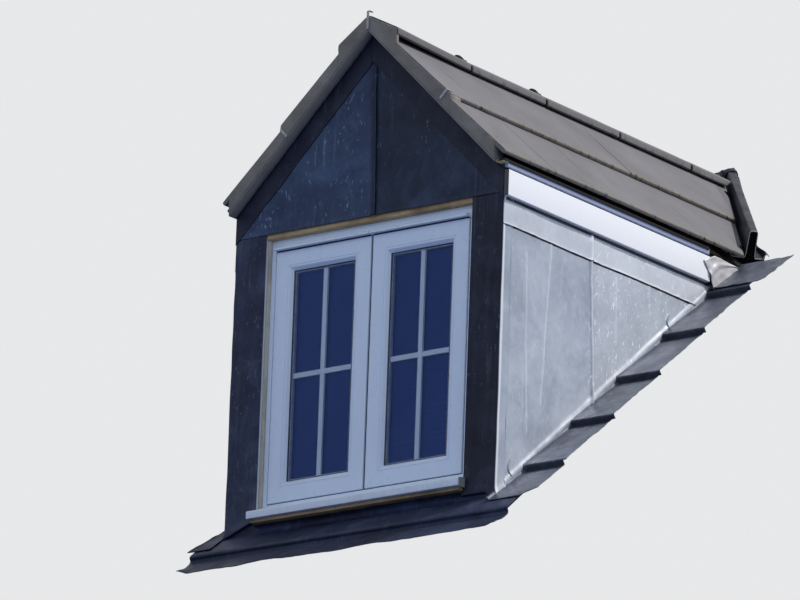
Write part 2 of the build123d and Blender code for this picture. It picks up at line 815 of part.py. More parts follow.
plug_base = (batten_height + 2 * seat_gap) / cos(gable)
plug_tip = (rafter_apex + plug_base - under_ridge(0)) / (tan(gable) - ridge_fall)
with BuildPart() as ridge_mortar:
    with BuildSketch(front_plane(verge_face + verge_inset)):
        for side in (1, -1):
            Polygon(
                (side * bed_in, top_course(bed_in) + seat_gap),
                (side * bed_out, top_course(bed_out) + seat_gap),
                (side * bed_out, under_ridge(bed_out)), (side * bed_in, under_ridge(bed_in)),
                align=None)
    extrude(amount=-reach)
    # Solid plug at the front, between the verge, the heads of the tiles and the ridge
    with BuildSketch(front_plane(verge_face + verge_inset)):
        for side in (1, -1):
            Polygon(
                (side * plug_tip, under_ridge(plug_tip)),
                (side * head_x, slope(rafter_apex + plug_base, head_x)),
                (side * head_x, top_course(head_x_top) + seat_gap),
                (side * head_x_top, top_course(head_x_top) + seat_gap),
                (side * bed_in, top_course(bed_in) + seat_gap),
                (side * bed_in, under_ridge(bed_in)), align=None)
    extrude(amount=-ridge_bed)
    split(bisect_by=ridge_cut, keep=Keep.TOP)
save(ridge_mortar, "ridge_mortar")

# Fascia boards along both eaves
with BuildPart() as fascia_boards:
    with BuildSketch(front_plane(wall_face)):
        for side in (1, -1):
            with Locations((side * (fascia_back + fascia_thickness / 2), (fascia_base + fascia_top) / 2)):
                Rectangle(fascia_thickness, fascia_height)
    extrude(amount=wall_face - gusset_front)
save(fascia_boards, "fascia_boards")

# Valley trough: a channel each side of a tall rib, with folded outer edges, up to the ridge
# The section stands square to the valley; its middle line splits the angle of the two roofs
valley_down = Vector(1, -valley_run, -tan(gable)).normalized()
slope_normal = Vector(sin(gable), 0, cos(gable))
valley_up = (slope_normal + tile_plane.z_dir).normalized()
lean = slope_normal.get_angle(valley_up)
arm_rise = tan(radians(lean))
foot_x = tile_edge - trough_tail
foot = Vector(foot_x, tile_y(slope(tile_apex, foot_x)), slope(tile_apex, foot_x))
trough_drop = (nose_top - valley_board) / cos(radians(lean))
valley_section = Plane(origin=foot, x_dir=valley_up.cross(valley_down), z_dir=valley_down)
fold_1 = rib_base / 2 + channel_width
fold_2 = fold_1 + 2 * trough_fold
outer = fold_2 + outer_channel_width


def arm(x, lift=0):
    """A point of the trough's underside, on the slope of the roof beneath it."""
    return (x, x * arm_rise - trough_drop + lift)


arm_points = [
    (rib_top / 2, rib_height - trough_drop), arm(rib_base / 2), arm(fold_1),
    arm(fold_1 + trough_fold, trough_fold), arm(fold_2), arm(outer),
    arm(outer + trough_fold / 2, trough_fold)]
with BuildPart() as valley_trough:
    with BuildSketch(valley_section):
        with BuildLine():
            left_points = [(-x, y) for x, y in reversed(arm_points)]
            FilletPolyline(*left_points, *arm_points, radius=trough_thickness + 1)
            offset(amount=trough_thickness, side=Side.LEFT)
        make_face()
    extrude(amount=-reach)
    split(bisect_by=Plane.YZ, keep=Keep.TOP)
save_pair(valley_trough, "valley_trough")

# Hood that caps both ribs where they meet, and reaches down each of them
hood_top = rib_height - trough_drop + trough_thickness + seat_gap
hood_low = hood_top - saddle_depth
hood_grow = (rib_base - rib_top) / 2 / rib_height
hood_in = rib_top / 2 + 2 * trough_thickness
hood_foot = hood_in + saddle_depth * hood_grow
meeting = foot.X / valley_down.X
with BuildPart() as ridge_saddle:
    with BuildSketch(valley_section.offset(saddle_reach - meeting)):
        Polygon(
            (-hood_foot - saddle_thickness, hood_low), (-hood_in - saddle_thickness, hood_top),
            (-hood_in, hood_top + saddle_thickness), (hood_in, hood_top + saddle_thickness),
            (hood_in + saddle_thickness, hood_top), (hood_foot + saddle_thickness, hood_low),
            align=None)
        Polygon(
            (-hood_foot, hood_low), (-hood_in, hood_top), (hood_in, hood_top), (hood_foot, hood_low),
            align=None, mode=Mode.SUBTRACT)
    extrude(amount=-2 * saddle_reach)
    split(bisect_by=Plane.YZ, keep=Keep.TOP)
    mirror(about=Plane.YZ)
save(ridge_saddle, "ridge_saddle")

# Clips on the verge: one hooked over the upper course each side, and a strap at the ridge
clip_front = verge_face - seat_gap - clip_thickness
clip_run = nose_runs[-1] - clip_width
clip_level = nose_top - clip_width / 2 * slope_fall + 2 * seat_gap
with BuildPart() as side_clip:
    with BuildSketch(slope_section(clip_front)):
        with Locations((clip_run, clip_level + clip_thickness - clip_leg / 2)):
            Rectangle(clip_width, clip_leg)
    extrude(amount=-clip_thickness)
    with BuildSketch(slope_section(clip_front)):
        with Locations((clip_run, clip_level + clip_thickness / 2)):
            Rectangle(clip_width, clip_thickness)
    extrude(amount=-clip_hook)
with BuildPart() as verge_clips:
    add(side_clip.part)
    mirror(side_clip.part, about=Plane.YZ)
    with BuildSketch(front_plane(clip_front)):
        with Locations((0, ridge_apex + (strap_stand - strap_leg) / 2)):
            Rectangle(clip_width, strap_stand + strap_leg)
    extrude(amount=-clip_thickness)
    with BuildSketch(front_plane(clip_front)):
        with Locations((0, ridge_apex + strap_stand - clip_thickness / 2)):
            Rectangle(clip_width, clip_thickness)
    extrude(amount=-clip_hook)
save(verge_clips, "verge_clips")
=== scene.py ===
import math

import bpy
import numpy as np
from mathutils import Matrix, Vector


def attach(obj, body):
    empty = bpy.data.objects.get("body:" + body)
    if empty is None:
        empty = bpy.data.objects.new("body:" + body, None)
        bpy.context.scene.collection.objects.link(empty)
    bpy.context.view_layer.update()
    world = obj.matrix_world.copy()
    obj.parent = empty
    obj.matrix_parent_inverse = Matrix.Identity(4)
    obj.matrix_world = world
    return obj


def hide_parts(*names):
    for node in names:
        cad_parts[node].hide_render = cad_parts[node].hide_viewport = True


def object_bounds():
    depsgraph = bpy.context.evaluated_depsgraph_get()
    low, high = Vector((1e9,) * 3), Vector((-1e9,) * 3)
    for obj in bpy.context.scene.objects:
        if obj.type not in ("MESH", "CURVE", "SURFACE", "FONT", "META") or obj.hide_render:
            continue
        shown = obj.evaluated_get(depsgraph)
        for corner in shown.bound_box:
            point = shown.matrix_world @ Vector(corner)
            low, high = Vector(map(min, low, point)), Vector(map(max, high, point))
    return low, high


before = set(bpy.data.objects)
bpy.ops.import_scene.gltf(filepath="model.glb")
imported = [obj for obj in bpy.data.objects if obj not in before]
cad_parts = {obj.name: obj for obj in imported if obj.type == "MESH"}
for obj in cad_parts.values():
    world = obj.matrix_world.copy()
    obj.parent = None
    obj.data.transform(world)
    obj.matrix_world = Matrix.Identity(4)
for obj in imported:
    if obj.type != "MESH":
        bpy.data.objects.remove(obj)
cadLow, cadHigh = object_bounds()
scene = bpy.context.scene
print("frame loaded")

# the main roof, the gable and the planes that everything is set out from, in metres
roof = {"pitch": math.radians(40), "rise": 0.075, "gauge": 0.345, "noseOffset": 0.213, "tileThickness": 0.022}
gable = {"pitch": math.radians(45), "half": 0.581, "face": -0.0677, "overhang": 0.045}
tanMain, cosMain, sinMain = math.tan(roof["pitch"]), math.cos(roof["pitch"]), math.sin(roof["pitch"])
cosGable = math.cos(gable["pitch"])
wallFace = gable["face"]
vergeFace = wallFace - gable["overhang"]
half = gable["half"]


def tilesAt(y):
    # height of the main roof's tile plane at y
    return y * tanMain + roof["rise"] / cosMain


def tileY(z):
    # how far back the main roof's tile plane reaches the height z
    return (z - roof["rise"] / cosMain) / tanMain


tileLine = tilesAt(wallFace)
firstNose = wallFace / cosMain + roof["rise"] * tanMain + roof["noseOffset"]


def tileLevel(v):
    # level of the main roof's tiles at v up the slope: a saw tooth that falls a tile's thickness from nose to nose
    return roof["rise"] - np.mod(v - firstNose, roof["gauge"]) * roof["tileThickness"] / roof["gauge"]


def onRoof(x, v, w):
    # point at x, v up the main roof and w square out of it
    x, v, w = np.broadcast_arrays(x, v, w)
    return np.stack([x, v * cosMain - w * sinMain, v * sinMain + w * cosMain], -1)


def gridFaces(rows, cols, closeRows=False, closeCols=False):
    # each face joins four neighbours of a grid with rows x cols points
    r = np.arange(rows if closeRows else rows - 1)[:, None]
    c = np.arange(cols if closeCols else cols - 1)[None, :]
    r2, c2 = (r + 1) % rows, (c + 1) % cols
    return np.stack([r * cols + c, r * cols + c2, r2 * cols + c2, r2 * cols + c], -1).reshape(-1, 4)


def ripple(a, b, size, seed):
    # smooth random waves: the mean of 14 sine waves of about that length, in random directions
    rng = np.random.default_rng(seed)
    turn = rng.uniform(0, 2 * np.pi, 14)
    pace = 2 * np.pi / size * rng.uniform(0.55, 1.7, 14)
    shift = rng.uniform(0, 2 * np.pi, 14)
    a, b = np.broadcast_arrays(a, b)
    wave = np.sin(a[..., None] * pace * np.cos(turn) + b[..., None] * pace * np.sin(turn) + shift)
    return wave.mean(-1) * 2


def hump(t):
    # a bell: one at t = 0, nothing from t = 1 outwards
    t = np.clip(np.abs(t), 0, 1)
    return (1 - t * t) ** 2


def ease(t):
    # smooth step from 0 to 1
    t = np.clip(t, 0, 1)
    return t * t * (3 - 2 * t)


def awayFrom(a, b, points):
    # distance from each (a, b) to the nearest stretch of a line through the points
    p = np.array(points, float)
    start, along = p[:-1], p[1:] - p[:-1]
    da, db = a[..., None] - start[:, 0], b[..., None] - start[:, 1]
    t = np.clip((da * along[:, 0] + db * along[:, 1]) / (along ** 2).sum(1), 0, 1)
    return np.sqrt((da - t * along[:, 0]) ** 2 + (db - t * along[:, 1]) ** 2).min(-1)


def rounded(corners, radius, steps=4, closed=True):
    # corners cut back by the radius and joined by a parabola with the corner as its control point
    p = np.array(corners, float)
    back, ahead = np.roll(p, 1, 0) - p, np.roll(p, -1, 0) - p
    lengths = [np.linalg.norm(v, axis=1, keepdims=True) for v in (back, ahead)]
    r = np.broadcast_to(np.asarray(radius, float).reshape(-1, 1), (len(p), 1))
    a = p + back / lengths[0] * np.minimum(r, lengths[0] * 0.45)
    b = p + ahead / lengths[1] * np.minimum(r, lengths[1] * 0.45)
    t = np.linspace(0, 1, steps)[None, :, None]
    arc = (1 - t) ** 2 * a[:, None] + 2 * t * (1 - t) * p[:, None] + t ** 2 * b[:, None]
    if closed:
        return arc.reshape(-1, 2)
    return np.concatenate([p[:1], arc[1:-1].reshape(-1, 2), p[-1:]])


def gridOf(x, y, z):
    # points from three coordinates stretched to one common grid
    return np.stack(np.broadcast_arrays(x, y, z), -1)


def directionOf(line):
    # unit vectors along a line, one for each of its points
    along = np.gradient(line, axis=0)
    return along / np.linalg.norm(along, axis=1, keepdims=True)


def distanceAlong(line):
    # how far along a line each of its points lies
    return np.concatenate([[0], np.cumsum(np.linalg.norm(np.diff(line, axis=0), axis=1))])


def finer(line, step):
    # the same line with its points about a step apart
    fine = [line[0]]
    for a, b in zip(line[:-1], line[1:]):
        steps = max(1, int(np.linalg.norm(b - a) / step))
        fine += [a + (b - a) * k / steps for k in range(1, steps + 1)]
    return np.array(fine)


def box(a0, b0, a1, b1, radius, steps=3):
    # rectangle between two corners of a section, its own corners rounded
    return rounded([(a0, b0), (a1, b0), (a1, b1), (a0, b1)], radius, steps)


def pair(right, left):
    # both sides: the sign of x, the node's ending, the piece's ending and a seed
    return (1, "right", "Right", right), (-1, "left", "Left", left)


def addPiece(name, points, faces, finish, stands=(), edges=None):
    # smooth mesh that rides on the root; edges gives each point a value that the finishes read: worn and dirty edges on
    # the tiles, painted shade and painted highlights on the lead
    mesh = bpy.data.meshes.new(name)
    mesh.from_pydata(np.asarray(points, float).reshape(-1, 3).tolist(), [], [list(f) for f in faces])
    mesh.update()
    mesh.polygons.foreach_set("use_smooth", np.ones(len(mesh.polygons), bool))
    if edges is not None:
        layer = mesh.attributes.new("wearAndPaintedLight", "FLOAT", "POINT")
        layer.data.foreach_set("value", np.asarray(edges, float).ravel())
    mesh.materials.append(finish)
    piece = bpy.data.objects.new(name, mesh)
    scene.collection.objects.link(piece)
    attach(piece, "root")
    if stands:
        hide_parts(*stands)
    return piece


def sheet(name, points, finish, thickness, stands=(), flip=False, edges=None):
    # open grid of points as a sheet with its thickness behind it; it faces (next column) x (next row)
    points = np.asarray(points)
    faces = gridFaces(*points.shape[:2])
    if flip:
        faces = faces[:, ::-1]
    piece = addPiece(name, points, faces, finish, stands, edges)
    wall = piece.modifiers.new("thickness", "SOLIDIFY")
    wall.thickness, wall.offset, wall.use_even_offset = thickness, -1.0, False
    return piece


def turnedOut(points, faces):
    # reverses the faces of a closed part where its volume comes out negative
    p = np.asarray(points, float).reshape(-1, 3)
    total = 0.0
    for side in faces:
        total += (np.cross(p[side[1:-1]], p[side[2:]]) @ p[side[0]]).sum()
    return (p, faces) if total > 0 else (p, [list(side)[::-1] for side in faces])


def bar(ends):
    # closed section carried between stations: ends is stations x section points x 3, capped at both ends
    stations, count = ends.shape[:2]
    faces = [list(f) for f in gridFaces(stations, count, False, True)]
    last = (stations - 1) * count
    return turnedOut(ends, faces + [list(range(count))[::-1], [last + i for i in range(count)]])


def joined(name, parts, finish, stands=(), smoothAngle=32, edges=None):
    # several closed parts of (points, faces) as one piece, smooth except across edges sharper than the angle
    points, faces, start = [], [], 0
    for spots, sides in parts:
        points.append(spots)
        faces += [[i + start for i in side] for side in sides]
        start += len(spots)
    piece = addPiece(name, np.concatenate(points), faces, finish, stands, edges)
    piece.data.set_sharp_from_angle(angle=math.radians(smoothAngle))
    return piece


def srgb(r, g, b):
    # linear colour from the display's 0 to 255
    c = np.array([r, g, b]) / 255
    return (*np.where(c <= 0.04045, c / 12.92, ((c + 0.055) / 1.055) ** 2.4).tolist(), 1.0)


class Finish:
    # a material with short names for the nodes that the finishes below share
    def __init__(self, name):
        self.mat = bpy.data.materials.new(name)
        self.mat.use_nodes = True
        self.tree = self.mat.node_tree
        self.shader = self.tree.nodes["Principled BSDF"]
        self.where = self.node("ShaderNodeTexCoord").outputs["Object"]

    def node(self, kind, **values):
        made = self.tree.nodes.new(kind)
        for key, value in values.items():
            setattr(made, key, value)
        return made

    def feed(self, socket, value):
        # a value is another node's socket, a colour as a tuple of three numbers from 0 to 255, or what it says
        if isinstance(value, bpy.types.NodeSocket):
            self.tree.links.new(value, socket)
        elif isinstance(value, tuple):
            socket.default_value = srgb(*value)
        else:
            socket.default_value = value

    def stretch(self, x, y, z, turn=(0, 0, 0)):
        place = self.node("ShaderNodeMapping")
        self.feed(place.inputs["Vector"], self.where)
        place.inputs["Scale"].default_value = (x, y, z)
        place.inputs["Rotation"].default_value = turn
        return place.outputs["Vector"]

    def noise(self, scale, where=None, detail=4.0, rough=0.55, bend=0.0):
        made = self.node("ShaderNodeTexNoise")
        self.feed(made.inputs["Vector"], where or self.where)
        made.inputs["Scale"].default_value = scale
        made.inputs["Detail"].default_value = detail
        made.inputs["Roughness"].default_value = rough
        made.inputs["Distortion"].default_value = bend
        return made.outputs["Fac"]

    def cells(self, scale):
        made = self.node("ShaderNodeTexVoronoi")
        self.feed(made.inputs["Vector"], self.where)
        made.inputs["Scale"].default_value = scale
        return made.outputs["Distance"]

    def span(self, value, low, high, toLow=0.0, toHigh=1.0):
        made = self.node("ShaderNodeMapRange")
        self.feed(made.inputs["Value"], value)
        for key, number in (("From Min", low), ("From Max", high), ("To Min", toLow), ("To Max", toHigh)):
            made.inputs[key].default_value = number
        return made.outputs["Result"]

    def ramp(self, value, *stops):
        made = self.node("ShaderNodeValToRGB")
        self.feed(made.inputs["Fac"], value)
        band = made.color_ramp
        while len(band.elements) < len(stops):
            band.elements.new(0.5)
        for element, (at, colour) in zip(band.elements, stops):
            element.position, element.color = at, colour
        return made.outputs["Color"]

    def tones(self, value, places, colours):
        # one colour after the other over the value
        return self.ramp(value, *zip(places, [srgb(*c) for c in colours]))

    def mix(self, amount, a, b):
        made = self.node("ShaderNodeMix", data_type="RGBA")
        self.feed(made.inputs["Factor"], amount)
        self.feed(made.inputs[6], a)
        self.feed(made.inputs[7], b)
        return made.outputs[2]

    def sums(self, kind, a, b):
        made = self.node("ShaderNodeMath", operation=kind)
        self.feed(made.inputs[0], a)
        self.feed(made.inputs[1], b)
        return made.outputs[0]

    def both(self, a, b):
        return self.sums("MULTIPLY", a, b)

    def axis(self, name):
        apart = self.node("ShaderNodeSeparateXYZ")
        self.feed(apart.inputs[0], self.where)
        return apart.outputs[name]

    def wearAndPaintedLight(self):
        return self.node("ShaderNodeAttribute", attribute_name="wearAndPaintedLight").outputs["Fac"]

    def relief(self, height, distance, strength=1.0, below=None):
        made = self.node("ShaderNodeBump")
        self.feed(made.inputs["Height"], height)
        made.inputs["Distance"].default_value = distance
        made.inputs["Strength"].default_value = strength
        if below is not None:
            self.feed(made.inputs["Normal"], below)
        return made.outputs["Normal"]

    def set(self, **sockets):
        names = {"colour": "Base Color", "rough": "Roughness", "metal": "Metallic", "normal": "Normal",
                 "shine": "Specular IOR Level", "through": "Transmission Weight", "ior": "IOR",
                 "coat": "Coat Weight", "coatRough": "Coat Roughness", "tint": "Specular Tint"}
        for key, value in sockets.items():
            self.feed(self.shader.inputs[names[key]], value)
        return self.mat


# tones of one and the same lead, one set for each group of sheets: darker and bluer for sheets that stand in shade
# (deep, dark, shade, post, corner, apron, skirt), pale for sheets that face the sun (pale, warm, flash); painted shade
# and painted light
leadTone = {
    "deep": {"low": (28, 31, 44), "mid": (39, 43, 60), "high": (52, 57, 76), "pale": (92, 100, 122)},
    "dark": {"low": (40, 51, 74), "mid": (56, 70, 98), "high": (80, 96, 126), "pale": (150, 160, 184)},
    "shade": {"low": (30, 38, 54), "mid": (40, 51, 70), "high": (58, 70, 94), "pale": (126, 136, 158)},
    "post": {"low": (37, 43, 62), "mid": (50, 57, 80), "high": (74, 82, 106), "pale": (136, 144, 164)},
    "corner": {"low": (27, 31, 45), "mid": (37, 42, 59), "high": (54, 60, 80), "pale": (120, 128, 148)},
    "apron": {"low": (14, 20, 38), "mid": (23, 33, 59), "high": (42, 53, 88), "pale": (96, 104, 130)},
    "skirt": {"low": (26, 34, 54), "mid": (42, 50, 74), "high": (66, 74, 98), "pale": (120, 126, 144)},
    "pale": {"low": (148, 156, 168), "mid": (168, 176, 188), "high": (187, 193, 203), "pale": (232, 234, 238)},
    "warm": {"low": (178, 175, 175), "mid": (202, 199, 200), "high": (215, 212, 211), "pale": (236, 234, 232)},
    "flash": {"low": (58, 64, 78), "mid": (82, 88, 104), "high": (108, 115, 132), "pale": (178, 184, 194)}}
rearBay = {"splashed": (0.42, 0.48), "paler": (0.44, 0.50)}  # where the cheek's tone changes, over y


def leadFinish(name, tone, rough, metal, streak, spots, shiftBy=0.0, returns=False, shaded=None, wornAndPainted=None,
               shine=0.15):
    # sheet lead: soft clouds of tone, runs of rain down the face, small splashes and shallow dents; what returns round
    # the corner on to the cheek takes the sunlit cheek's tones and a white arris, painted light; shaded(f) marks
    # painted shadow that goes black, and then the rear bay and the cover strip are paler and most splashes lie on the
    # rear bay; the last colour is painted where the sheet's values say: painted shade on some sheets, painted
    # highlights on the cheek
    f = Finish(name)
    c = leadTone[tone]
    places = (0.30, 0.52, 0.72)
    clouds = f.noise(4.5 + shiftBy, None, 5.0, 0.6, 0.5)
    base = f.tones(clouds, places, (c["low"], c["mid"], c["high"]))
    blotches = f.noise(13.0 + shiftBy, f.stretch(1, 1, 0.6), 5.0, 0.65, 0.9)
    base = f.mix(f.span(blotches, 0.54, 0.72, 0.0, 0.55), base, c["high"])
    base = f.mix(f.span(blotches, 0.42, 0.30, 0.0, 0.5), base, c["low"])
    runs = f.noise(1.0, f.stretch(38, 38, 1.3), 4.0, 0.6, 0.25)
    broken = f.span(f.noise(5.5 + shiftBy, None, 3.0), 0.48, 0.66)
    base = f.mix(f.both(f.span(runs, 0.56, 0.74, 0.0, streak), broken), base, c["pale"])
    darkRuns = f.noise(1.0, f.stretch(17, 17, 1.1, (0, 0, 0.7)), 3.0, 0.5)
    base = f.mix(f.span(darkRuns, 0.58, 0.8, 0.0, streak * 0.7), base, c["low"])
    # painted light: the part that returns on to the cheek takes the sunlit cheek's tones and a painted white highlight
    # along its arris
    if returns:
        sunny = leadTone["pale"]
        sunlitReturnTones = f.tones(clouds, places, (sunny["low"], sunny["mid"], sunny["high"]))
        base = f.mix(f.span(f.axis("Y"), wallFace + 0.001, wallFace + 0.006), base, sunlitReturnTones)
        arris = f.both(f.span(f.axis("Y"), wallFace + 0.003, wallFace + 0.006),
                       f.span(f.axis("Y"), wallFace + 0.018, wallFace + 0.012))
        base = f.mix(f.both(arris, 0.8), base, (236, 236, 236))
    splash = f.noise(1.0, f.stretch(95, 95, 44), 2.0, 0.5)
    patch = f.span(f.noise(3.2 + shiftBy), 0.42, 0.6)
    if shaded:
        patch = f.both(f.span(f.noise(2.6 + shiftBy), 0.30, 0.44), f.span(f.axis("Y"), *rearBay["splashed"], 0.25, 1.0))
        fine = f.noise(1.0, f.stretch(150, 150, 60, (0.2, 0, 0.4)), 2.0, 0.5)
        base = f.mix(f.both(f.span(fine, 0.66, 0.70, 0.0, spots), patch), base, c["pale"])
        base = f.mix(f.span(f.axis("Y"), *rearBay["paler"], 0.0, 0.26), base, c["pale"])
        base = f.mix(f.span(f.axis("Z"), cheek["lap"] - 0.001, cheek["lap"] + 0.001, 0.0, 0.42), base, c["pale"])
    base = f.mix(f.both(f.span(splash, 0.65, 0.70, 0.0, spots), patch), base, c["pale"])
    # painted shadow: black where shaded(f) says
    if shaded:
        base = f.mix(f.both(shaded(f), 0.94), base, (22, 24, 30))
    # the last colour is painted where the sheet's values say: painted shade on the gable's roll and under the
    # flashing's noses, painted highlights on the cheek
    if wornAndPainted:
        base = f.mix(f.both(f.wearAndPaintedLight(), 0.92), base, wornAndPainted)
    grain = f.noise(140.0, None, 3.0, 0.6)
    dents = f.noise(11.0, None, 3.0, 0.5, 0.3)
    normal = f.relief(dents, 0.0035, 0.55)
    normal = f.relief(grain, 0.0006, 0.25, normal)
    roughness = f.span(f.noise(9.0, None, 4.0, 0.6), 0.3, 0.7, rough - 0.09, rough + 0.1)
    return f.set(colour=base, rough=roughness, metal=metal, normal=normal, shine=shine)


# each finish takes the tones for how its sheets lie in the light: painted shade on the gable, the rakes, the posts and
# the apron, painted light on the gussets and the flashing
darkLead = leadFinish("leadInShade", "dark", 0.5, 0.1, 0.3, 0.5, wornAndPainted=(24, 30, 52))
shadeLead = leadFinish("leadInDeepShade", "shade", 0.5, 0.1, 0.3, 0.4, 0.5)
postSheet = {-1: leadFinish("leadOnPosts", "post", 0.5, 0.1, 0.5, 0.3, 0.7, True),
             1: leadFinish("leadOnShadedPost", "corner", 0.5, 0.1, 0.4, 0.3, 1.1, True)}
deepLead = leadFinish("leadOnRakes", "deep", 0.52, 0.1, 0.3, 0.2, 1.9, True)
skirtLead = leadFinish("leadOnSkirt", "skirt", 0.5, 0.1, 0.3, 0.4, 0.3)
apronLead = leadFinish("leadApron", "apron", 0.5, 0.1, 0.3, 0.3, 2.6)
gussetLead = leadFinish("leadGusset", "warm", 0.46, 0.2, 0.3, 0.3, 0.4, shine=0.4)
# the flashing's last colour paints shadow under each nose
flashLead = leadFinish("leadFlashing", "flash", 0.46, 0.25, 0.4, 0.3, 2.1, wornAndPainted=(20, 24, 34), shine=0.4)


def plasticFinish(name, colour, dirt, rough=0.3, streak=0.35, marked=None, markTone=None):
    # moulded white plastic with a thin film of dirt that has run down it, and another tone where marked(f) says so
    f = Finish(name)
    film = f.noise(1.0, f.stretch(24, 24, 7), 5.0, 0.6, 0.5)
    cloud = f.noise(6.0, None, 4.0, 0.6)
    amount = f.both(f.span(film, 0.45, 0.8, 0.0, streak), f.span(cloud, 0.3, 0.75))
    base = f.mix(amount, colour, dirt)
    specks = f.span(f.noise(210.0, None, 2.0, 0.5), 0.74, 0.80, 0.0, streak)
    base = f.mix(specks, base, dirt)
    if marked:
        base = f.mix(marked(f), base, markTone)
    normal = f.relief(f.noise(35.0, None, 2.0), 0.0008, 0.12)
    roughness = f.span(f.noise(18.0, None, 4.0), 0.3, 0.7, rough - 0.06, rough + 0.08)
    return f.set(colour=base, rough=roughness, normal=normal, coat=0.15, coatRough=0.25)


def boardEndShade(f):
    # the front end of the fascia, painted dark blue-grey: painted shade
    return f.span(f.axis("Y"), wallFace - 0.0012, wallFace - 0.0020)


# the frame's whites lean blue: painted blue skylight of the shade the window stands in
whitePlastic = plasticFinish("whiteFramePlastic", (230, 241, 255), (186, 190, 196), 0.3, 0.18)
fasciaPlastic = plasticFinish("fasciaBoardPlastic", (250, 250, 250), (222, 221, 218), 0.3, 0.12, boardEndShade, (30, 32, 52))
# blue-grey for the strip above the fascia: painted skylit shade under the tiles' overhang
shadeTrimPlastic = plasticFinish("shadedEavesTrimPlastic", (150, 158, 188), (110, 116, 136), 0.4, 0.3)
barPlastic = plasticFinish("glazingBarPlastic", (228, 238, 254), (196, 204, 216), 0.35, 0.2)


# painted shade: timber goes near black where it lies in shadow: out at the eaves, behind the cheeks' rear end, at the
# foot of the plywood
paintedBlackShade = {"out": (0.572, 0.580), "inside": (0.40, 0.42), "behind": (1.22, 1.26), "foot": (0.100, 0.080),
        "plyOut": (0.5765, 0.578), "plyUp": (1.085, 1.095)}


def woodFinish(name, light, dark, stain, grainAxis, eaves=False):
    # sawn softwood: long bent fibres along one axis, rings and damp stains; near black at the eaves and behind the
    # cheeks' rear end, a painted shade
    f = Finish(name)
    along = {"X": (2.2, 34, 34), "Y": (34, 2.2, 34), "Z": (34, 34, 2.2)}[grainAxis]
    fibre = f.noise(3.2, f.stretch(*along), 6.0, 0.65, 0.6)
    rings = f.noise(1.0, f.stretch(*[a * 0.55 for a in along]), 3.0, 0.5, 1.6)
    bands = f.sums("FRACT", f.both(rings, 7.0), 0.0)
    base = f.tones(fibre, (0.28, 0.5, 0.72), (dark, [(a + b) // 2 for a, b in zip(light, dark)], light))
    base = f.mix(f.span(bands, 0.55, 1.0, 0.0, 0.35), base, dark)
    stains = f.noise(5.0, None, 5.0, 0.6, 0.6)
    base = f.mix(f.span(stains, 0.46, 0.7, 0.0, 0.75), base, stain)
    # painted shade: near black out at the eaves and behind the cheeks' rear end
    if eaves:
        outwards = f.sums("ABSOLUTE", f.axis("X"), 0.0)
        behind = f.both(f.span(outwards, *paintedBlackShade["inside"]), f.span(f.axis("Y"), *paintedBlackShade["behind"]))
        base = f.mix(f.sums("MAXIMUM", f.span(outwards, *paintedBlackShade["out"]), behind), base, (24, 23, 23))
    normal = f.relief(fibre, 0.0012, 0.5)
    return f.set(colour=base, rough=f.span(fibre, 0.3, 0.7, 0.75, 0.90), normal=normal, shine=0.3)


frameTimber = woodFinish("sawnTimberFrame", (184, 160, 126), (146, 120, 88), (124, 106, 82), "Y", True)
studTimber = woodFinish("sawnTimberFront", (184, 160, 126), (146, 120, 88), (124, 106, 82), "Z")
oldTimber = woodFinish("weatheredTimber", (228, 200, 154), (168, 138, 98), (116, 96, 70), "X")
jambTimber = woodFinish("paleJambTimber", (226, 218, 200), (200, 190, 168), (164, 154, 134), "Z")
# very pale timber for the eave block, so that it reads sunlit where it stands in shade: painted light
endTimber = woodFinish("paleSawnTimber", (250, 238, 180), (232, 210, 140), (206, 180, 116), "Y")


def plyFinish():
    # plywood: pale face veneer with soft figure and fine plies on its edges; near black below the tiles and at the
    # eaves, a painted shade
    f = Finish("plywoodSheet")
    figure = f.noise(2.4, f.stretch(9, 1.6, 1.6), 5.0, 0.6, 1.2)
    base = f.tones(figure, (0.3, 0.55, 0.75), ((158, 124, 84), (190, 156, 112), (206, 176, 132)))
    plies = f.sums("FRACT", f.both(f.sums("ADD", f.axis("X"), f.axis("Y")), 310.0), 0.0)
    base = f.mix(f.span(plies, 0.5, 0.62, 0.0, 0.28), base, (120, 90, 58))
    above = f.sums("SUBTRACT", f.axis("Z"), f.both(f.axis("Y"), tanMain))
    base = f.mix(f.span(above, *paintedBlackShade["foot"]), base, (54, 50, 48))
    normal = f.relief(f.noise(60.0, f.stretch(6, 1, 1)), 0.0006, 0.4)
    outwards = f.sums("ABSOLUTE", f.axis("X"), 0.0)
    eave = f.both(f.span(outwards, *paintedBlackShade["plyOut"]), f.span(f.axis("Z"), *paintedBlackShade["plyUp"]))
    base = f.mix(eave, base, (18, 19, 32))
    return f.set(colour=base, rough=0.72, normal=normal, shine=0.3)


def plasterFinish():
    # plasterboard skimmed and painted: faint trowel marks, fine grain
    f = Finish("paintedPlaster")
    marks = f.noise(5.0, f.stretch(1, 2.5, 1.4), 4.0, 0.55, 0.8)
    base = f.tones(marks, (0.3, 0.6, 0.8), ((206, 203, 196), (218, 216, 210), (224, 222, 217)))
    normal = f.relief(f.noise(120.0, None, 3.0), 0.0005, 0.35, f.relief(marks, 0.002, 0.3))
    return f.set(colour=base, rough=0.82, normal=normal, shine=0.3)


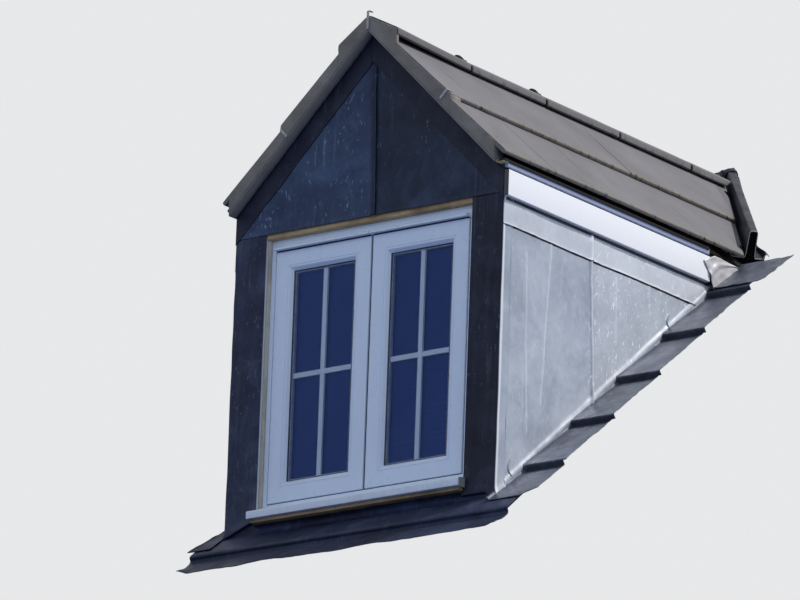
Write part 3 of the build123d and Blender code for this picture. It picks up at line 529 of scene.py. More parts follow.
def tileFinish(name, tones, edgeTone, moss=0.6, blackEnd=False):
    # concrete tile: sandy grain, slow clouds of tone, a dirty and mossy lower edge, near black where the edge value is
    # full
    f = Finish(name)
    clouds = f.noise(3.6, None, 5.0, 0.6, 0.4)
    base = f.tones(clouds, (0.3, 0.52, 0.74), tones)
    sand = f.noise(420.0, None, 2.0, 0.6)
    base = f.mix(f.span(sand, 0.35, 0.75, 0.0, 0.35), base, tones[0])
    scuff = f.noise(1.0, f.stretch(40, 7, 40), 4.0, 0.6)
    base = f.mix(f.span(scuff, 0.62, 0.8, 0.0, 0.15), base, tones[2])
    wornAndPainted = f.both(f.wearAndPaintedLight(), f.span(f.noise(38.0, None, 4.0, 0.7), 0.35, 0.62, 0.35, 1.0))
    base = f.mix(f.both(wornAndPainted, moss), base, edgeTone)
    blots = f.both(f.wearAndPaintedLight(), f.span(f.noise(26.0, f.stretch(1, 2.2, 1), 3.0, 0.6), 0.56, 0.66))
    base = f.mix(f.both(blots, 0.85), base, (52, 46, 34))
    if blackEnd:
        base = f.mix(f.span(f.wearAndPaintedLight(), 0.92, 0.98), base, (26, 27, 34))
    normal = f.relief(sand, 0.0007, 0.5, f.relief(f.noise(24.0, None, 4.0), 0.0018, 0.4))
    return f.set(colour=base, rough=0.86, normal=normal, shine=0.35)


roofTile = tileFinish("concreteRoofTile", ((109, 106, 108), (119, 116, 118), (128, 125, 128)), (142, 130, 98))
ridgeTile = tileFinish("concreteRidgeTile", ((111, 108, 108), (122, 119, 119), (133, 130, 130)), (112, 104, 88),
                       0.4, True)


def mortarFinish(name, tones, fissure=0.6):
    # struck mortar: sandy, trowelled along the verge, with short cracks and pores
    f = Finish(name)
    clouds = f.noise(7.0, None, 5.0, 0.65, 0.5)
    base = f.tones(clouds, (0.3, 0.55, 0.78), tones)
    grit = f.noise(300.0, None, 3.0, 0.65)
    base = f.mix(f.span(grit, 0.5, 0.8, 0.0, 0.4), base, tones[0])
    cracks = f.noise(1.0, f.stretch(14, 40, 90, (0, 0.785, 0)), 4.0, 0.7, 1.0)
    base = f.mix(f.span(cracks, 0.64, 0.70, 0.0, fissure), base, (56, 52, 50))
    pores = f.span(f.cells(120.0), 0.0, 0.22, 0.6, 0.0)
    base = f.mix(f.both(pores, f.span(clouds, 0.4, 0.7)), base, (70, 66, 62))
    normal = f.relief(grit, 0.0009, 0.6, f.relief(f.noise(30.0, None, 5.0, 0.6), 0.003, 0.5))
    return f.set(colour=base, rough=0.92, normal=normal, shine=0.25)


vergeMortar = mortarFinish("vergeMortar", ((122, 115, 107), (142, 134, 126), (158, 151, 144)), 0.55)
# near black bedding under the ridge: painted shadow under the ridge's lips
shadedRidgeMortar = mortarFinish("shadedRidgeMortar", ((22, 21, 20), (34, 32, 30), (60, 56, 50)))
underBoard = mortarFinish("undercloakBoard", ((134, 126, 119), (147, 139, 132), (158, 150, 143)), 0.2)


def darkPlasticFinish(name, colour, dust, rough=0.32, dusty=0.35, rim=False, shine=0.5):
    # dark moulded plastic with a bloom of dust in soft patches; a cut rim is pale
    f = Finish(name)
    bloom = f.noise(9.0, None, 5.0, 0.65, 0.4)
    base = f.mix(f.span(bloom, 0.45, 0.8, 0.0, dusty), colour, dust)
    specks = f.span(f.noise(170.0, None, 2.0), 0.66, 0.74, 0.0, dusty)
    base = f.mix(specks, base, dust)
    if rim:
        base = f.mix(f.wearAndPaintedLight(), base, (186, 184, 172))
    normal = f.relief(f.noise(90.0, None, 3.0), 0.0005, 0.3, f.relief(f.noise(12.0), 0.0015, 0.3))
    dull = f.span(bloom, 0.3, 0.75, rough - 0.05, rough + 0.2)
    return f.set(colour=base, rough=dull, normal=normal, shine=shine)


troughPlastic = darkPlasticFinish("valleyTroughPlastic", (16, 21, 38), (52, 60, 84), 0.42, 0.25, True, 0.25)
jointSeal = darkPlasticFinish("ridgeJointSeal", (7, 7, 8), (20, 20, 20), 0.7, 0.1, False, 0.1)
clampPlastic = darkPlasticFinish("ridgeClampPlastic", (14, 14, 16), (46, 44, 42), 0.5, 0.25, False, 0.2)
gasketRubber = darkPlasticFinish("glazingGasket", (34, 35, 37), (70, 70, 68), 0.6, 0.2)


def metalFinish(name, colour, dull, metal):
    # thin metal strip with a dull bloom and fine drawn lines
    f = Finish(name)
    lines = f.noise(1.0, f.stretch(400, 400, 30), 3.0, 0.6)
    bloom = f.noise(60.0, None, 4.0, 0.6)
    base = f.mix(f.span(bloom, 0.4, 0.75, 0.0, 0.6), colour, dull)
    return f.set(colour=base, rough=f.span(bloom, 0.3, 0.7, 0.4, 0.6), metal=metal,
                 normal=f.relief(lines, 0.0003, 0.3))


spacerMetal = metalFinish("paneSpacer", (176, 186, 206), (130, 140, 162), 0.4)
clipMetal = metalFinish("galvanisedClip", (140, 146, 160), (94, 98, 108), 0.9)


def glassFinish(name, tint, skyReflectionTint):
    # float glass: a slight roll wave, a blue specular tint that paints in the sky's reflection, and a film of dust that
    # dulls it in places
    f = Finish(name)
    film = f.noise(7.0, f.stretch(1, 1, 0.4), 4.0, 0.55)
    normal = f.relief(f.noise(3.5, None, 1.0), 0.002, 0.04)
    return f.set(colour=tint, rough=f.span(film, 0.35, 0.75, 0.02, 0.05), through=1.0, ior=1.45,
                 normal=normal, tint=skyReflectionTint)


# both panes' blue specular tint and the inner pane's dark blue body paint in a deep blue sky reflection: painted
# reflection
outerGlass = glassFinish("outerPane", (234, 240, 248), (60, 128, 255))
innerGlass = glassFinish("innerPane", (60, 96, 160), (52, 112, 250))
plywood = plyFinish()
plaster = plasterFinish()


def slatFinish():
    # thin blind slat, painted, with a little dust on it
    f = Finish("blindSlat")
    dust = f.noise(80.0, None, 3.0)
    base = f.mix(f.span(dust, 0.4, 0.8, 0.0, 0.4), (44, 52, 74), (32, 38, 54))
    return f.set(colour=base, rough=0.85, normal=f.relief(dust, 0.0003, 0.2), shine=0.04)


blindSlat = slatFinish()
print("finishes made")

window = {"width": 0.880, "height": 0.975, "base": 0.086, "recess": 0.028, "depth": 0.060, "rail": 0.062,
          "head": 0.046, "side": 0.022, "foot": 0.019, "sashRail": 0.075, "sashProud": 0.003, "gap": 0.009,
          "glassSet": 0.013, "pane": 0.004, "cavity": 0.014, "grip": 0.012, "sashDepth": 0.0433}
winHalf = window["width"] / 2
winFront = wallFace + window["recess"]
winRear = winFront + window["depth"]
winBase = tileLine + window["base"]
winTop = winBase + window["height"]
sashWide = winHalf - window["side"] - window["gap"] / 2
sashTall = window["height"] - window["head"] - window["foot"]
sashX = (sashWide + window["gap"]) / 2
sashZ = winBase + window["foot"] + sashTall / 2
sashFront = winFront - window["sashProud"]
sashBack = sashFront + window["sashDepth"]
sashFoot, sashHead = sashZ - sashTall / 2, sashZ + sashTall / 2
glassFront = sashFront + window["glassSet"]
spacerFront = glassFront + window["pane"]
glassInner = spacerFront + window["cavity"]

weld = {"half": 0.0016, "deep": 0.0006, "reach": 0.009}


def ring(profile, centre, halfSizes, innerHalf=None, innerCentre=None):
    # mitred ring: each corner of the outer rectangle moves in by the profile's inset, or by a share of the way
    # to the inner one; a shallow weld groove runs down each mitre
    p = np.asarray(profile, float)
    signs = np.array([(-1, -1), (1, -1), (1, 1), (-1, 1)], float)
    beside = np.array([[(0, 1), (0, 0), (1, 0)], [(-1, 0), (0, 0), (0, 1)], [(0, -1), (0, 0), (-1, 0)],
                       [(1, 0), (0, 0), (0, -1)]], float).reshape(12, 2) * weld["half"]
    sunk = np.tile([0, weld["deep"], 0], 4)
    signs = np.repeat(signs, 3, 0)
    outer = np.array(centre) + signs * np.array(halfSizes)
    if innerHalf is None:
        spots = outer[:, None, :] - signs[:, None, :] * p[None, :, :1]
    else:
        inner = np.array(innerCentre) + signs * np.array(innerHalf)
        spots = outer[:, None, :] + (inner - outer)[:, None, :] * p[None, :, :1]
    spots = spots + beside[:, None, :]
    depth = p[None, :, 1] + sunk[:, None] * (p[None, :, 1] < winFront + weld["reach"])
    points = np.stack([spots[..., 0], depth, spots[..., 1]], -1)
    return turnedOut(points, [list(f) for f in gridFaces(12, len(p), True, True)])


def plank(low, high, radius, bow=0.0, seed=0, along=0, steps=14):
    # board between two corners, its long edges rounded and very slightly out of true along its length
    low, high = np.array(low, float), np.array(high, float)
    other = [i for i in range(3) if i != along]
    profile = box(*low[other], *high[other], radius, 4)
    t = np.linspace(0, 1, steps)
    where = low[along] + (high[along] - low[along]) * t
    wave = ripple(where, 0, 0.35, seed) * bow
    points = np.empty((steps, len(profile), 3))
    points[..., along] = where[:, None]
    points[..., other[0]] = profile[None, :, 0]
    points[..., other[1]] = profile[None, :, 1] + wave[:, None]
    return bar(points)


frameFront = [(0.0, sashBack), (0.0, winFront + 0.003), (0.02, winFront + 0.0008), (0.06, winFront), (0.86, winFront),
              (0.96, winFront + 0.0012), (1.0, winFront + 0.005), (1.0, sashBack)]
rail = window["rail"]
joined("windowFrame", [
    ring(frameFront, (0, winBase + window["height"] / 2), (winHalf, window["height"] / 2),
         (sashX + sashWide / 2 + 0.0036, sashTall / 2 + 0.0030), (0, sashZ)),
    *[plank((x0, sashBack, winBase), (x0 + rail, winRear, winTop), 0.004, 0, 3, 2, 3)
      for x0 in (-winHalf, -rail / 2, winHalf - rail)],
    *[plank((-winHalf, sashBack + 0.0002, z0), (winHalf, winRear - 0.0002, z1), 0.004, 0, 3, 0, 3)
      for z0, z1 in ((winBase, sashFoot + rail / 2), (sashHead - rail / 2, winTop))],
], whitePlastic, ["window_frame"])

# the sash's section, as inset and depth: flat rail, a step, the sloping bead and the rebate for the glass
lip = window["sashRail"]
rebate, rebateRear = lip - 0.0125, glassInner + window["pane"] + 0.0002
sashEdge = rounded([
    (0.0, sashBack - 0.0003), (0.0, sashFront), (0.0535, sashFront), (0.0545, sashFront + 0.0022),
    (0.0560, sashFront + 0.0022), (0.0565, sashFront + 0.0004), (rebate, sashFront + 0.0004),
    (lip - 0.0012, glassFront - 0.0014), (lip, glassFront - 0.0003), (rebate, glassFront - 0.0002),
    (rebate, rebateRear), (lip, rebateRear), (lip, sashBack - 0.0003)],
    [0.001, 0.0035, 0.0004, 0.0004, 0.0004, 0.0008, 0.003, 0.0006, 0.0002, 0.0002, 0.0002, 0.0005, 0.002], 4)


def sashRings(profile):
    # one ring of the profile in each sash, set out from the sash's outer edge
    return [ring(profile, (side * sashX, sashZ), (sashWide / 2, sashTall / 2)) for side in (1, -1)]


for tag, sash in zip(("right", "left"), sashRings(sashEdge)):
    joined("sash_" + tag, [sash], whitePlastic, ["sash_" + tag], 24)

# a dark weather seal shows in the gap between the sashes and round them
seal = {"front": winFront + 0.0050, "rear": winFront + 0.0080, "wide": 0.0034, "past": 0.0035, "middle": 0.0044}
joined("weatherSeals", [
    ring(box(0, seal["front"], seal["wide"], seal["rear"], 0.0004), (0, sashZ),
         (sashX + sashWide / 2 + seal["past"], sashTall / 2 + seal["past"])),
    plank((-seal["middle"], seal["front"], sashFoot), (seal["middle"], seal["rear"], sashHead), 0.0006, 0, 4, 2, 3),
], gasketRubber)

spacerEdge = box(lip - 0.0002, spacerFront + 0.0002, lip + 0.0056, glassInner - 0.0002, 0.0008)
joined("paneSpacers", sashRings(spacerEdge), spacerMetal)

gasketEdge = rounded([(lip - 0.0018, glassFront - 0.0022), (lip + 0.0018, glassFront - 0.0010),
                      (lip + 0.0018, glassFront - 0.0001), (lip - 0.0018, glassFront - 0.0001)], 0.0006, 3)
joined("glazingGaskets", sashRings(gasketEdge), gasketRubber)

for name, start, finish in (("outerPanes", glassFront, outerGlass), ("innerPanes", glassInner, innerGlass)):
    w, h = [size / 2 - lip + window["grip"] for size in (sashWide, sashTall)]
    edge = box(-w, -h, w, h, 0.002)
    depth = np.array([start, start + window["pane"]])
    parts = []
    for side in (1, -1):
        parts.append(bar(gridOf(side * sashX + edge[None, :, 0], depth[:, None], sashZ + edge[None, :, 1])))
    pane = joined(name, parts, finish, ["window_glass"])

drip = {"height": 0.014, "out": 0.021}
dripBase = sashHead + 0.0046
dripEdge = rounded([(winFront, dripBase), (winFront - drip["out"], dripBase),
                    (winFront - drip["out"], dripBase + 0.006),
                    (winFront - 0.006, dripBase + drip["height"]), (winFront, dripBase + drip["height"])],
                   [0.0002, 0.0012, 0.003, 0.003, 0.0002], 4)


def alongX(profile, x0, x1):
    # profile of (y, z) carried from x0 to x1
    return bar(gridOf(np.array([x0, x1])[:, None], profile[None, :, 0], profile[None, :, 1]))


# a dark strip under each drip bar: painted shadow under the bar
joined("dripShadowStrips", [plank((s * sashX - sashWide / 2 + 0.002, winFront - 0.0036, dripBase - 0.0044),
                           (s * sashX + sashWide / 2 - 0.002, winFront + 0.0004, dripBase - 0.0002),
                           0.0006, 0, 4, 0, 3) for s in (1, -1)], gasketRubber)
joined("dripBars", [alongX(dripEdge, s * sashX - sashWide / 2, s * sashX + sashWide / 2) for s in (1, -1)],
       whitePlastic, ["drip_bars"])

sill = {"out": 0.069, "nose": 0.028, "drop": 0.045, "horn": 0.016}
sillHalf = winHalf + sill["horn"]
sillUnder = winBase - sill["drop"]
noseY = winFront - sill["out"]
wallStop = wallFace - 0.0006
hornTop = sillUnder + sill["nose"] + (wallStop - noseY) / 4
sillNose = rounded([(noseY, sillUnder), (noseY, sillUnder + sill["nose"]), (wallStop, hornTop),
                    (wallStop, sillUnder)], [0.003, 0.006, 0.0005, 0.0005], 5)
sillBody = rounded([(wallStop - 0.001, sillUnder), (wallStop - 0.001, hornTop - 0.0004),
                    (sashFront, winBase - 0.0003), (winRear, winBase - 0.0003), (winRear, sillUnder)], 0.0006, 3)


def sillEnd(f):
    # greenish grey on the right end of the sill, clear of its front arris
    return f.both(f.span(f.axis("X"), sillHalf - 0.0015, sillHalf - 0.0004),
                  f.span(f.axis("Y"), noseY + 0.004, noseY + 0.007))


# the sill's white leans blue: painted blue skylight of the shade
sillPlastic = plasticFinish("whiteSillPlastic", (232, 240, 252), (160, 158, 152), 0.32, 0.4, sillEnd, (160, 166, 153))
joined("windowSill", [alongX(sillNose, -sillHalf, sillHalf), alongX(sillBody, 0.0001 - winHalf, winHalf - 0.0001)],
       sillPlastic, ["window_sill"])

openHalf = winHalf + 0.008
openTop = winTop + 0.017
openBase = sillUnder - 0.015
packerRear = wallFace + 0.043
joined("windowPackers", [
    plank((-openHalf, wallFace + 0.005, winTop + 0.0004), (openHalf, packerRear, openTop - 0.0004),
          0.0015, 0.0004, 5, 0, 40),
    plank((-openHalf, noseY + 0.016, openBase + 0.0034), (openHalf, winRear, sillUnder - 0.0003),
          0.002, 0.0004, 8, 0, 50),
], oldTimber, ["window_packers"])
joined("jambPackers", [
    plank((x0, wallFace + 0.015, sillUnder), (x1, packerRear, winTop), 0.001, 0.0002, seed, 2, 40)
    for x0, x1, seed in ((0.0005 - openHalf, -winHalf - 0.0004, 6), (winHalf + 0.0004, openHalf - 0.0005, 7))
], jambTimber)

blind = {"pitch": 0.020, "width": 0.0225, "tilt": math.radians(73), "from": 0.0115, "sag": 0.0016, "half": 0.160,
         "low": -0.405, "high": 0.390, "thick": 0.0005}


def blindSlats():
    # each slat is a shallow arc of the blind's width, tilted, one above the other at the pitch, under a head rail
    u = np.linspace(-1, 1, 5)
    arc = np.stack([u * blind["width"] / 2, (1 - u * u) * blind["sag"]], -1)
    edge = np.concatenate([arc, arc[::-1] - np.array([0, blind["thick"]])])
    c, s = math.cos(blind["tilt"]), math.sin(blind["tilt"])
    y = blind["from"] + edge[:, 0] * c - edge[:, 1] * s
    z = edge[:, 0] * s + edge[:, 1] * c
    parts = []
    for side in (1, -1):
        x = side * sashX + np.array([-1, 1]) * blind["half"]
        for level in np.arange(sashZ + blind["low"], sashZ + blind["high"], blind["pitch"]):
            parts.append(bar(gridOf(x[:, None], y[None], level + z[None])))
        parts.append(plank((x[0] - 0.004, 0.003, sashZ + 0.398), (x[1] + 0.004, 0.0195, sashZ + 0.4225),
                           0.002, 0, 1, 0, 3))
    return parts


joined("blindSlats", blindSlats(), blindSlat)
print("window made")

tileSet = {"thick": 0.015, "length": 0.420, "lap": 0.010, "gauge": 0.345, "wide": 0.300, "joint": 0.0007,
           "edge": 0.617, "valleyGap": 0.050, "batten": 0.025, "startShift": -0.117, "least": 0.020, "shortest": 0.050}
fall = tileSet["thick"] / tileSet["gauge"]
noseUnder = tileSet["batten"] + tileSet["length"] * fall
noseTop = noseUnder + tileSet["thick"]
rafterApex = openTop + 0.085 + half * math.tan(gable["pitch"])
tileApex = rafterApex + noseTop / cosGable
noseRun = (tileSet["edge"] - noseTop * cosGable) / cosGable
noseRuns = [noseRun, noseRun - tileSet["gauge"]]
valleyRun = 1.0 / tanMain


def onSlope(side, run, level, y):
    # point at a distance down the gable's slope from the apex, square out of it by the level
    run, level, y = np.broadcast_arrays(run, level, y)
    return np.stack([side * (run + level) * cosGable, y, rafterApex - (run - level) * cosGable], -1)


def valleyCut(x):
    # how far back a course reaches: it stops short of the line where the two roofs meet
    return tileY(tileApex) - tileSet["valleyGap"] - valleyRun * np.abs(x)


def tileCourse(side, course, seed):
    # single tiles side by side; each is a section of head, top, rounded nose and underside carried across it
    rng = np.random.default_rng(seed)
    run0 = noseRuns[course] - tileSet["length"] + tileSet["lap"]
    parts, wears = [], []
    last = float(valleyCut((run0 + tileSet["batten"]) * cosGable))
    first = vergeFace + course * tileSet["startShift"]
    for k, start in enumerate(np.arange(first, last, tileSet["wide"])):
        y0 = max(start + tileSet["joint"] / 2, vergeFace + 0.0022)
        y1 = start + tileSet["wide"] - tileSet["joint"] / 2
        if y1 - y0 < tileSet["least"]:
            continue
        limit = (tileY(tileApex) - tileSet["valleyGap"] - y0 - 0.012) / valleyRun  # x where the cut meets this side
        run1 = min(noseRuns[course], (limit - noseTop * cosGable) / cosGable)
        if run1 < run0 + tileSet["shortest"]:
            continue
        whole = run1 == noseRuns[course]
        lift = rng.uniform(-0.0004, 0.0009) if whole else 0.0
        runs = np.concatenate([[run0], np.linspace(run0 + 0.02, run1 - 0.03, 6),
                               run1 - np.array([0.016, 0.007, 0.0025, 0.0])])
        tops = noseTop - (noseRuns[course] - runs) * fall
        tops[-4:] -= np.array([0.0001, 0.0004, 0.0014, 0.0045]) * whole
        underRuns = np.array([run1, run1 - 0.003, run0 + 0.01, run0])
        unders = noseUnder + 0.0003 - (noseRuns[course] - underRuns) * fall
        unders[0] += 0.002
        profRun = np.concatenate([runs, underRuns])
        profLevel = np.concatenate([tops, unders])
        wearAndPaintedLight = np.concatenate([hump((run1 - runs) / 0.035) * whole, [1, 1, 0, 0]])
        x = (profRun + profLevel) * cosGable
        end = np.minimum(y1, np.maximum(valleyCut(x), y0 + 0.002))
        y = y0 + (end - y0)[None, :] * np.linspace(0, 1, 13)[:, None]
        nose = np.where(profRun > run1 - 0.02, 1.0, 0.0)[None, :]
        shift = ripple(y, 0, 0.09, seed + k) * 0.0009 * nose  # chipped, slightly wavy nose
        corner = hump((y - y1) / 0.012) * 0.0028 * nose if end[0] == y1 else 0  # the side lap curls away at the nose
        level = profLevel[None] + lift * ease((profRun - run0) / 0.3)[None]
        level = level + ripple(y, profRun[None], 0.12, seed + 50 + k) * 0.0004
        points = onSlope(side, profRun[None] + shift - corner, level, y)
        parts.append(bar(points))
        wears.append((wearAndPaintedLight[None] * (0.75 + 0.25 * ripple(y, 0, 0.2, seed + k))).ravel())
    return parts, np.concatenate(wears)


for side, tag, _, shift in pair(0, 5):
    for course, seed in ((0, 11), (1, 47)):
        parts, wears = tileCourse(side, course, seed + shift)
        joined(f"roofTiles_{tag}_{course + 1}", parts, roofTile, [] if course else ["roof_tiles_" + tag], 40, wears)

ridge = {"half": 0.130, "pitch": math.radians(29), "thick": 0.014, "lip": 0.024, "length": 0.450, "joint": 0.013,
         "raise": 0.010, "twistRight": 0.005, "twistLeft": 0.018, "bed": 0.040, "sink": 0.0086}
ridgeApex = rafterApex + ridge["bed"] / cosGable - ridge["sink"]
ridgeFall = math.tan(ridge["pitch"])
ridgeEdge = ridgeApex - ridge["half"] * ridgeFall
ridgeDrop = ridge["thick"] / math.cos(ridge["pitch"])
lipIn = ridge["half"] - ridge["thick"]
ridgeEdgeLine = [(0, ridgeApex), (ridge["half"], ridgeEdge), (ridge["half"], ridgeEdge - ridge["lip"]),
                 (lipIn, ridgeEdge - ridge["lip"]), (lipIn, ridgeApex - ridgeDrop - lipIn * ridgeFall),
                 (0, ridgeApex - ridgeDrop)]
ridgeCorners = ridgeEdgeLine + [(-x, z) for x, z in ridgeEdgeLine[1:5]][::-1]
ridgeProfile = rounded(ridgeCorners, [0.016, 0.006, 0.003, 0.003, 0.004, 0.008, 0.004, 0.003, 0.003, 0.006], 5)


def frontRaise(x, y):
    # how much higher than level the first ridge tile is bedded: most at the verge, less down to the left
    away = np.clip(1 - (y - vergeFace) / ridge["length"], 0, 1)
    return away * (ridge["raise"] + np.where(x > 0, ridge["twistRight"], ridge["twistLeft"]) * x / ridge["half"])


def ridgeRun():
    # the angled section carried along the ridge, tile by tile; the rear end follows the main roof's slope
    parts, wears = [], []
    rng = np.random.default_rng(8)
    start = vergeFace
    stop = tileY(ridgeApex) - tileSet["valleyGap"]
    x, z = ridgeProfile[:, 0], ridgeProfile[:, 1]
    t = np.array([0, 0.004, 0.012, 0.1, 0.3, 0.5, 0.7, 0.9, 0.988, 0.996, 1.0])
    while start < stop - tileSet["least"]:
        first = 0.0022 if start == vergeFace else 0.0
        end = np.minimum(start + ridge["length"] - ridge["joint"], tileY(z) - tileSet["valleyGap"])
        begin = np.minimum(start + first, end - 0.002)
        y = begin[None] + (end - begin)[None] * t[:, None]
        pinch = (np.array([1, 0.35, 0, 0, 0, 0, 0, 0, 0, 0.35, 1]) * 0.0022)[:, None]  # arrises worn at both ends
        dx, dz = rng.uniform(-0.0012, 0.0012), rng.uniform(-0.001, 0.0006)
        px = x[None] * (1 - pinch / ridge["half"] * 1.2) + dx
        pz = z[None] - pinch * (z > ridgeApex - ridgeDrop - np.abs(x) * ridgeFall + 0.004)[None] + dz
        pz = pz + ripple(y, px, 0.15, len(parts) + 7) * 0.0006 + frontRaise(px, y)
        points = np.stack([px, y, pz], -1)
        parts.append(bar(points))
        low = (z < ridgeEdge - 0.008)[None] * 0.6 + hump(np.stack([t, 1 - t]).min(0) / 0.05)[:, None] * 0.3
        if first:  # the end that shows round the mortar goes near black
            low[:2] = 1.0
        wears.append(np.broadcast_to(low, points.shape[:2]).ravel())
        start += ridge["length"]
    return parts, np.concatenate(wears)


parts, wears = ridgeRun()
joined("ridgeTiles", parts, ridgeTile, ["ridge_tiles"], 40, wears)


def ridgeJoint(k):
    # the middle of the ridge's joint number k
    return vergeFace + k * ridge["length"] - ridge["joint"] / 2


def jointSeals():
    # black strip under each ridge joint: the ridge's own section, a little smaller, carried past the gap
    x = ridgeProfile[:, 0] * 0.962
    z = np.maximum(ridgeProfile[:, 1] - 0.0036, ridgeEdge - ridge["lip"] + 0.0012)
    reach = np.array([-0.012, 0.012])
    return [bar(gridOf(x[None], (ridgeJoint(k) + reach)[:, None], z[None])) for k in range(1, 5)]


joined("ridgeJointSeals", jointSeals(), jointSeal)

clamp = {"width": 0.026, "stand": 0.009, "behind": 0.082}


def ridgeClamps():
    # moulded plate over each joint: a low saddle on the ridge with a short upright fin
    parts = []
    for k in (1, 2):
        y0 = ridgeJoint(k) + clamp["behind"]
        u = np.array([-1, -0.85, -0.3, 0, 0.3, 0.85, 1.0]) * clamp["width"]
        slope = ridgeApex - np.abs(u) * ridgeFall
        raised = 0.0035 * (np.abs(u) < clamp["width"] * 0.9) + 0.0006 - 0.0028 * (u == 0)
        z = np.concatenate([slope + raised, slope[::-1] - 0.0014])
        y = y0 + np.array([-0.011, -0.008, 0.020, 0.023])
        parts.append(bar(gridOf(np.concatenate([u, u[::-1]])[None], y[:, None], z[None])))
        fin = rounded([(y0 - 0.014, ridgeApex - 0.001), (y0 + 0.032, ridgeApex - 0.001),
                       (y0 + 0.030, ridgeApex + 0.004), (y0 + 0.010, ridgeApex + clamp["stand"]),
                       (y0 - 0.010, ridgeApex + clamp["stand"] - 0.002)], 0.003, 4)
        x = np.array([-0.005, -0.004, 0.004, 0.005])
        grow = np.array([0.0, 0.0008, 0.0008, 0.0])
        parts.append(bar(gridOf(x[:, None], fin[None, :, 0], fin[None, :, 1] + grow[:, None])))
    return parts


joined("ridgeClamps", ridgeClamps(), clampPlastic)


def fillBetween(name, x, low, high, front, depth, finish, stands, rough, rows, seed):
    # upright face between two curves over x, roughened a little, with a solid depth behind it
    v = np.linspace(0, 1, rows)[:, None]
    z = low[None] + (high - low)[None] * v
    spread = np.broadcast_to(x[None], z.shape)
    dent = ripple(spread, z, 0.05, seed) * rough + ripple(spread, z, 0.012, seed + 1) * rough * 0.4
    edge = np.minimum(hump(v) + hump(1 - v), 1)
    y = front + rough + dent * (1 - 0.4 * edge)
    return sheet(name, np.stack([spread, y, z], -1), finish, depth, stands)


def rafterZ(x):
    # height of the gable's rafter line over x
    return rafterApex - np.abs(x) * math.tan(gable["pitch"])


def courseLevel(x, course):
    # how high the course's top stands over the rafter line, measured upright
    return (noseTop - (noseRuns[course] - np.abs(x) / cosGable) * fall) / (1 + fall) / cosGable


def topCourse(x):
    # height of the upper course's top over x
    return rafterZ(x) + courseLevel(x, 1)


vergeBed = {"ends": {1: 0.5655, -1: 0.5860}, "inner": 0.1265, "low": 0.0085, "proud": 0.0001, "deep": 0.056,
            "under": 0.0088, "underBack": 0.0022, "plugDeep": 0.014, "plugDown": 0.0044}
upperNose = (noseRuns[1] + noseTop) * cosGable


def courseTop(x):
    # height of the tiles' tops over x at the verge, with a drop at the upper course's nose
    low, high = courseLevel(x, 0), courseLevel(x, 1)
    return rafterZ(x) + low + (high - low) * ease((upperNose - np.abs(x)) / 0.004)


for side, tag, _, seed in pair(21, 22):
    last = vergeBed["ends"][side]
    x = side * np.concatenate([np.linspace(vergeBed["inner"], upperNose - 0.006, 70),
                               np.linspace(upperNose - 0.005, upperNose + 0.002, 6),
                               np.linspace(upperNose + 0.004, last, 60)])[::side]
    crumble = 0.0048 + ripple(x, 0, 0.04, seed + 7) * 0.0016 + ripple(x, 0, 0.009, seed + 8) * 0.0008
    fillBetween("vergeMortar_" + tag, x, rafterZ(x) + vergeBed["low"], courseTop(x) - crumble,
                vergeFace - vergeBed["proud"], vergeBed["deep"], vergeMortar, ["verge_" + tag], 0.0011, 14, seed)
    x = side * np.linspace(0.0005, last, 80)[::side]
    fillBetween("undercloak_" + tag, x, rafterZ(x), rafterZ(x) + vergeBed["under"],
                vergeFace + vergeBed["underBack"], vergeBed["deep"], underBoard, (), 0.0004, 3, seed + 30)

# mortar plug in the front end of the ridge, one face over both slopes
x = np.linspace(0.0001 - vergeBed["inner"], vergeBed["inner"] - 0.0001, 110)
plugTop = ridgeApex - np.abs(x) * ridgeFall - vergeBed["plugDown"] + ripple(x, 0, 0.03, 26) * 0.0010
fillBetween("ridgePlug", x, rafterZ(x) + vergeBed["low"], plugTop + frontRaise(x, vergeFace),
            vergeFace - vergeBed["proud"], vergeBed["plugDeep"], vergeMortar, ["ridge_mortar"], 0.0012, 16, 25)

bedding = {"inner": 0.082, "middle": 0.100, "outer": 0.090, "widens": 0.014, "waves": 0.005, "air": 0.0004}


def ridgeBedding():
    # squeezed fillet of mortar under each edge of the ridge, wavy along its outer side; its section runs from the
    # inner line over the middle one to the wavy outer one and back above
    stop = tileY(topCourse(0.11)) - tileSet["valleyGap"] - 0.01
    y = np.linspace(vergeFace + 0.006, stop, 130)
    out = bedding["outer"] + bedding["widens"] * ease((y - vergeFace) / ridge["length"])
    out = out + ripple(y, 0, 0.07, 31) * bedding["waves"]
    share = np.array([0, 0.5, 1.0, 1.0, 0.985, 0.5, 0])[None]
    middle = bedding["middle"]
    a = np.where(share == 0, bedding["inner"], middle + (out[:, None] - middle) * (share - 0.5) * 2)
    low = topCourse(a) + bedding["air"]
    high = ridgeApex - ridgeDrop - a * ridgeFall - bedding["air"]
    z = low + (high - low) * np.array([0, 0, 0, 0.5, 1, 1, 1])[None]
    return [bar(gridOf(side * a, y[:, None], z)) for side in (1, -1)]


# the bedding's near black colour is painted shadow under the ridge's lips
joined("ridgeBedding", ridgeBedding(), shadedRidgeMortar, ["ridge_mortar"])

fascia = {"thick": 0.018, "height": 0.117, "eaveGap": 0.0198, "back": 0.584, "stop": 0.058, "shade": 0.044,
          "start": {1: -0.003, -1: 0.032}, "trimBack": 0.0045, "trimUp": 0.0095, "trimTop": 0.006}
noseArris = rafterApex - noseRuns[0] * cosGable + noseUnder * cosGable
fasciaTop = noseArris - fascia["eaveGap"]
fasciaBase = fasciaTop - fascia["height"]
fasciaEnd = tileY(fasciaBase) - fascia["stop"]


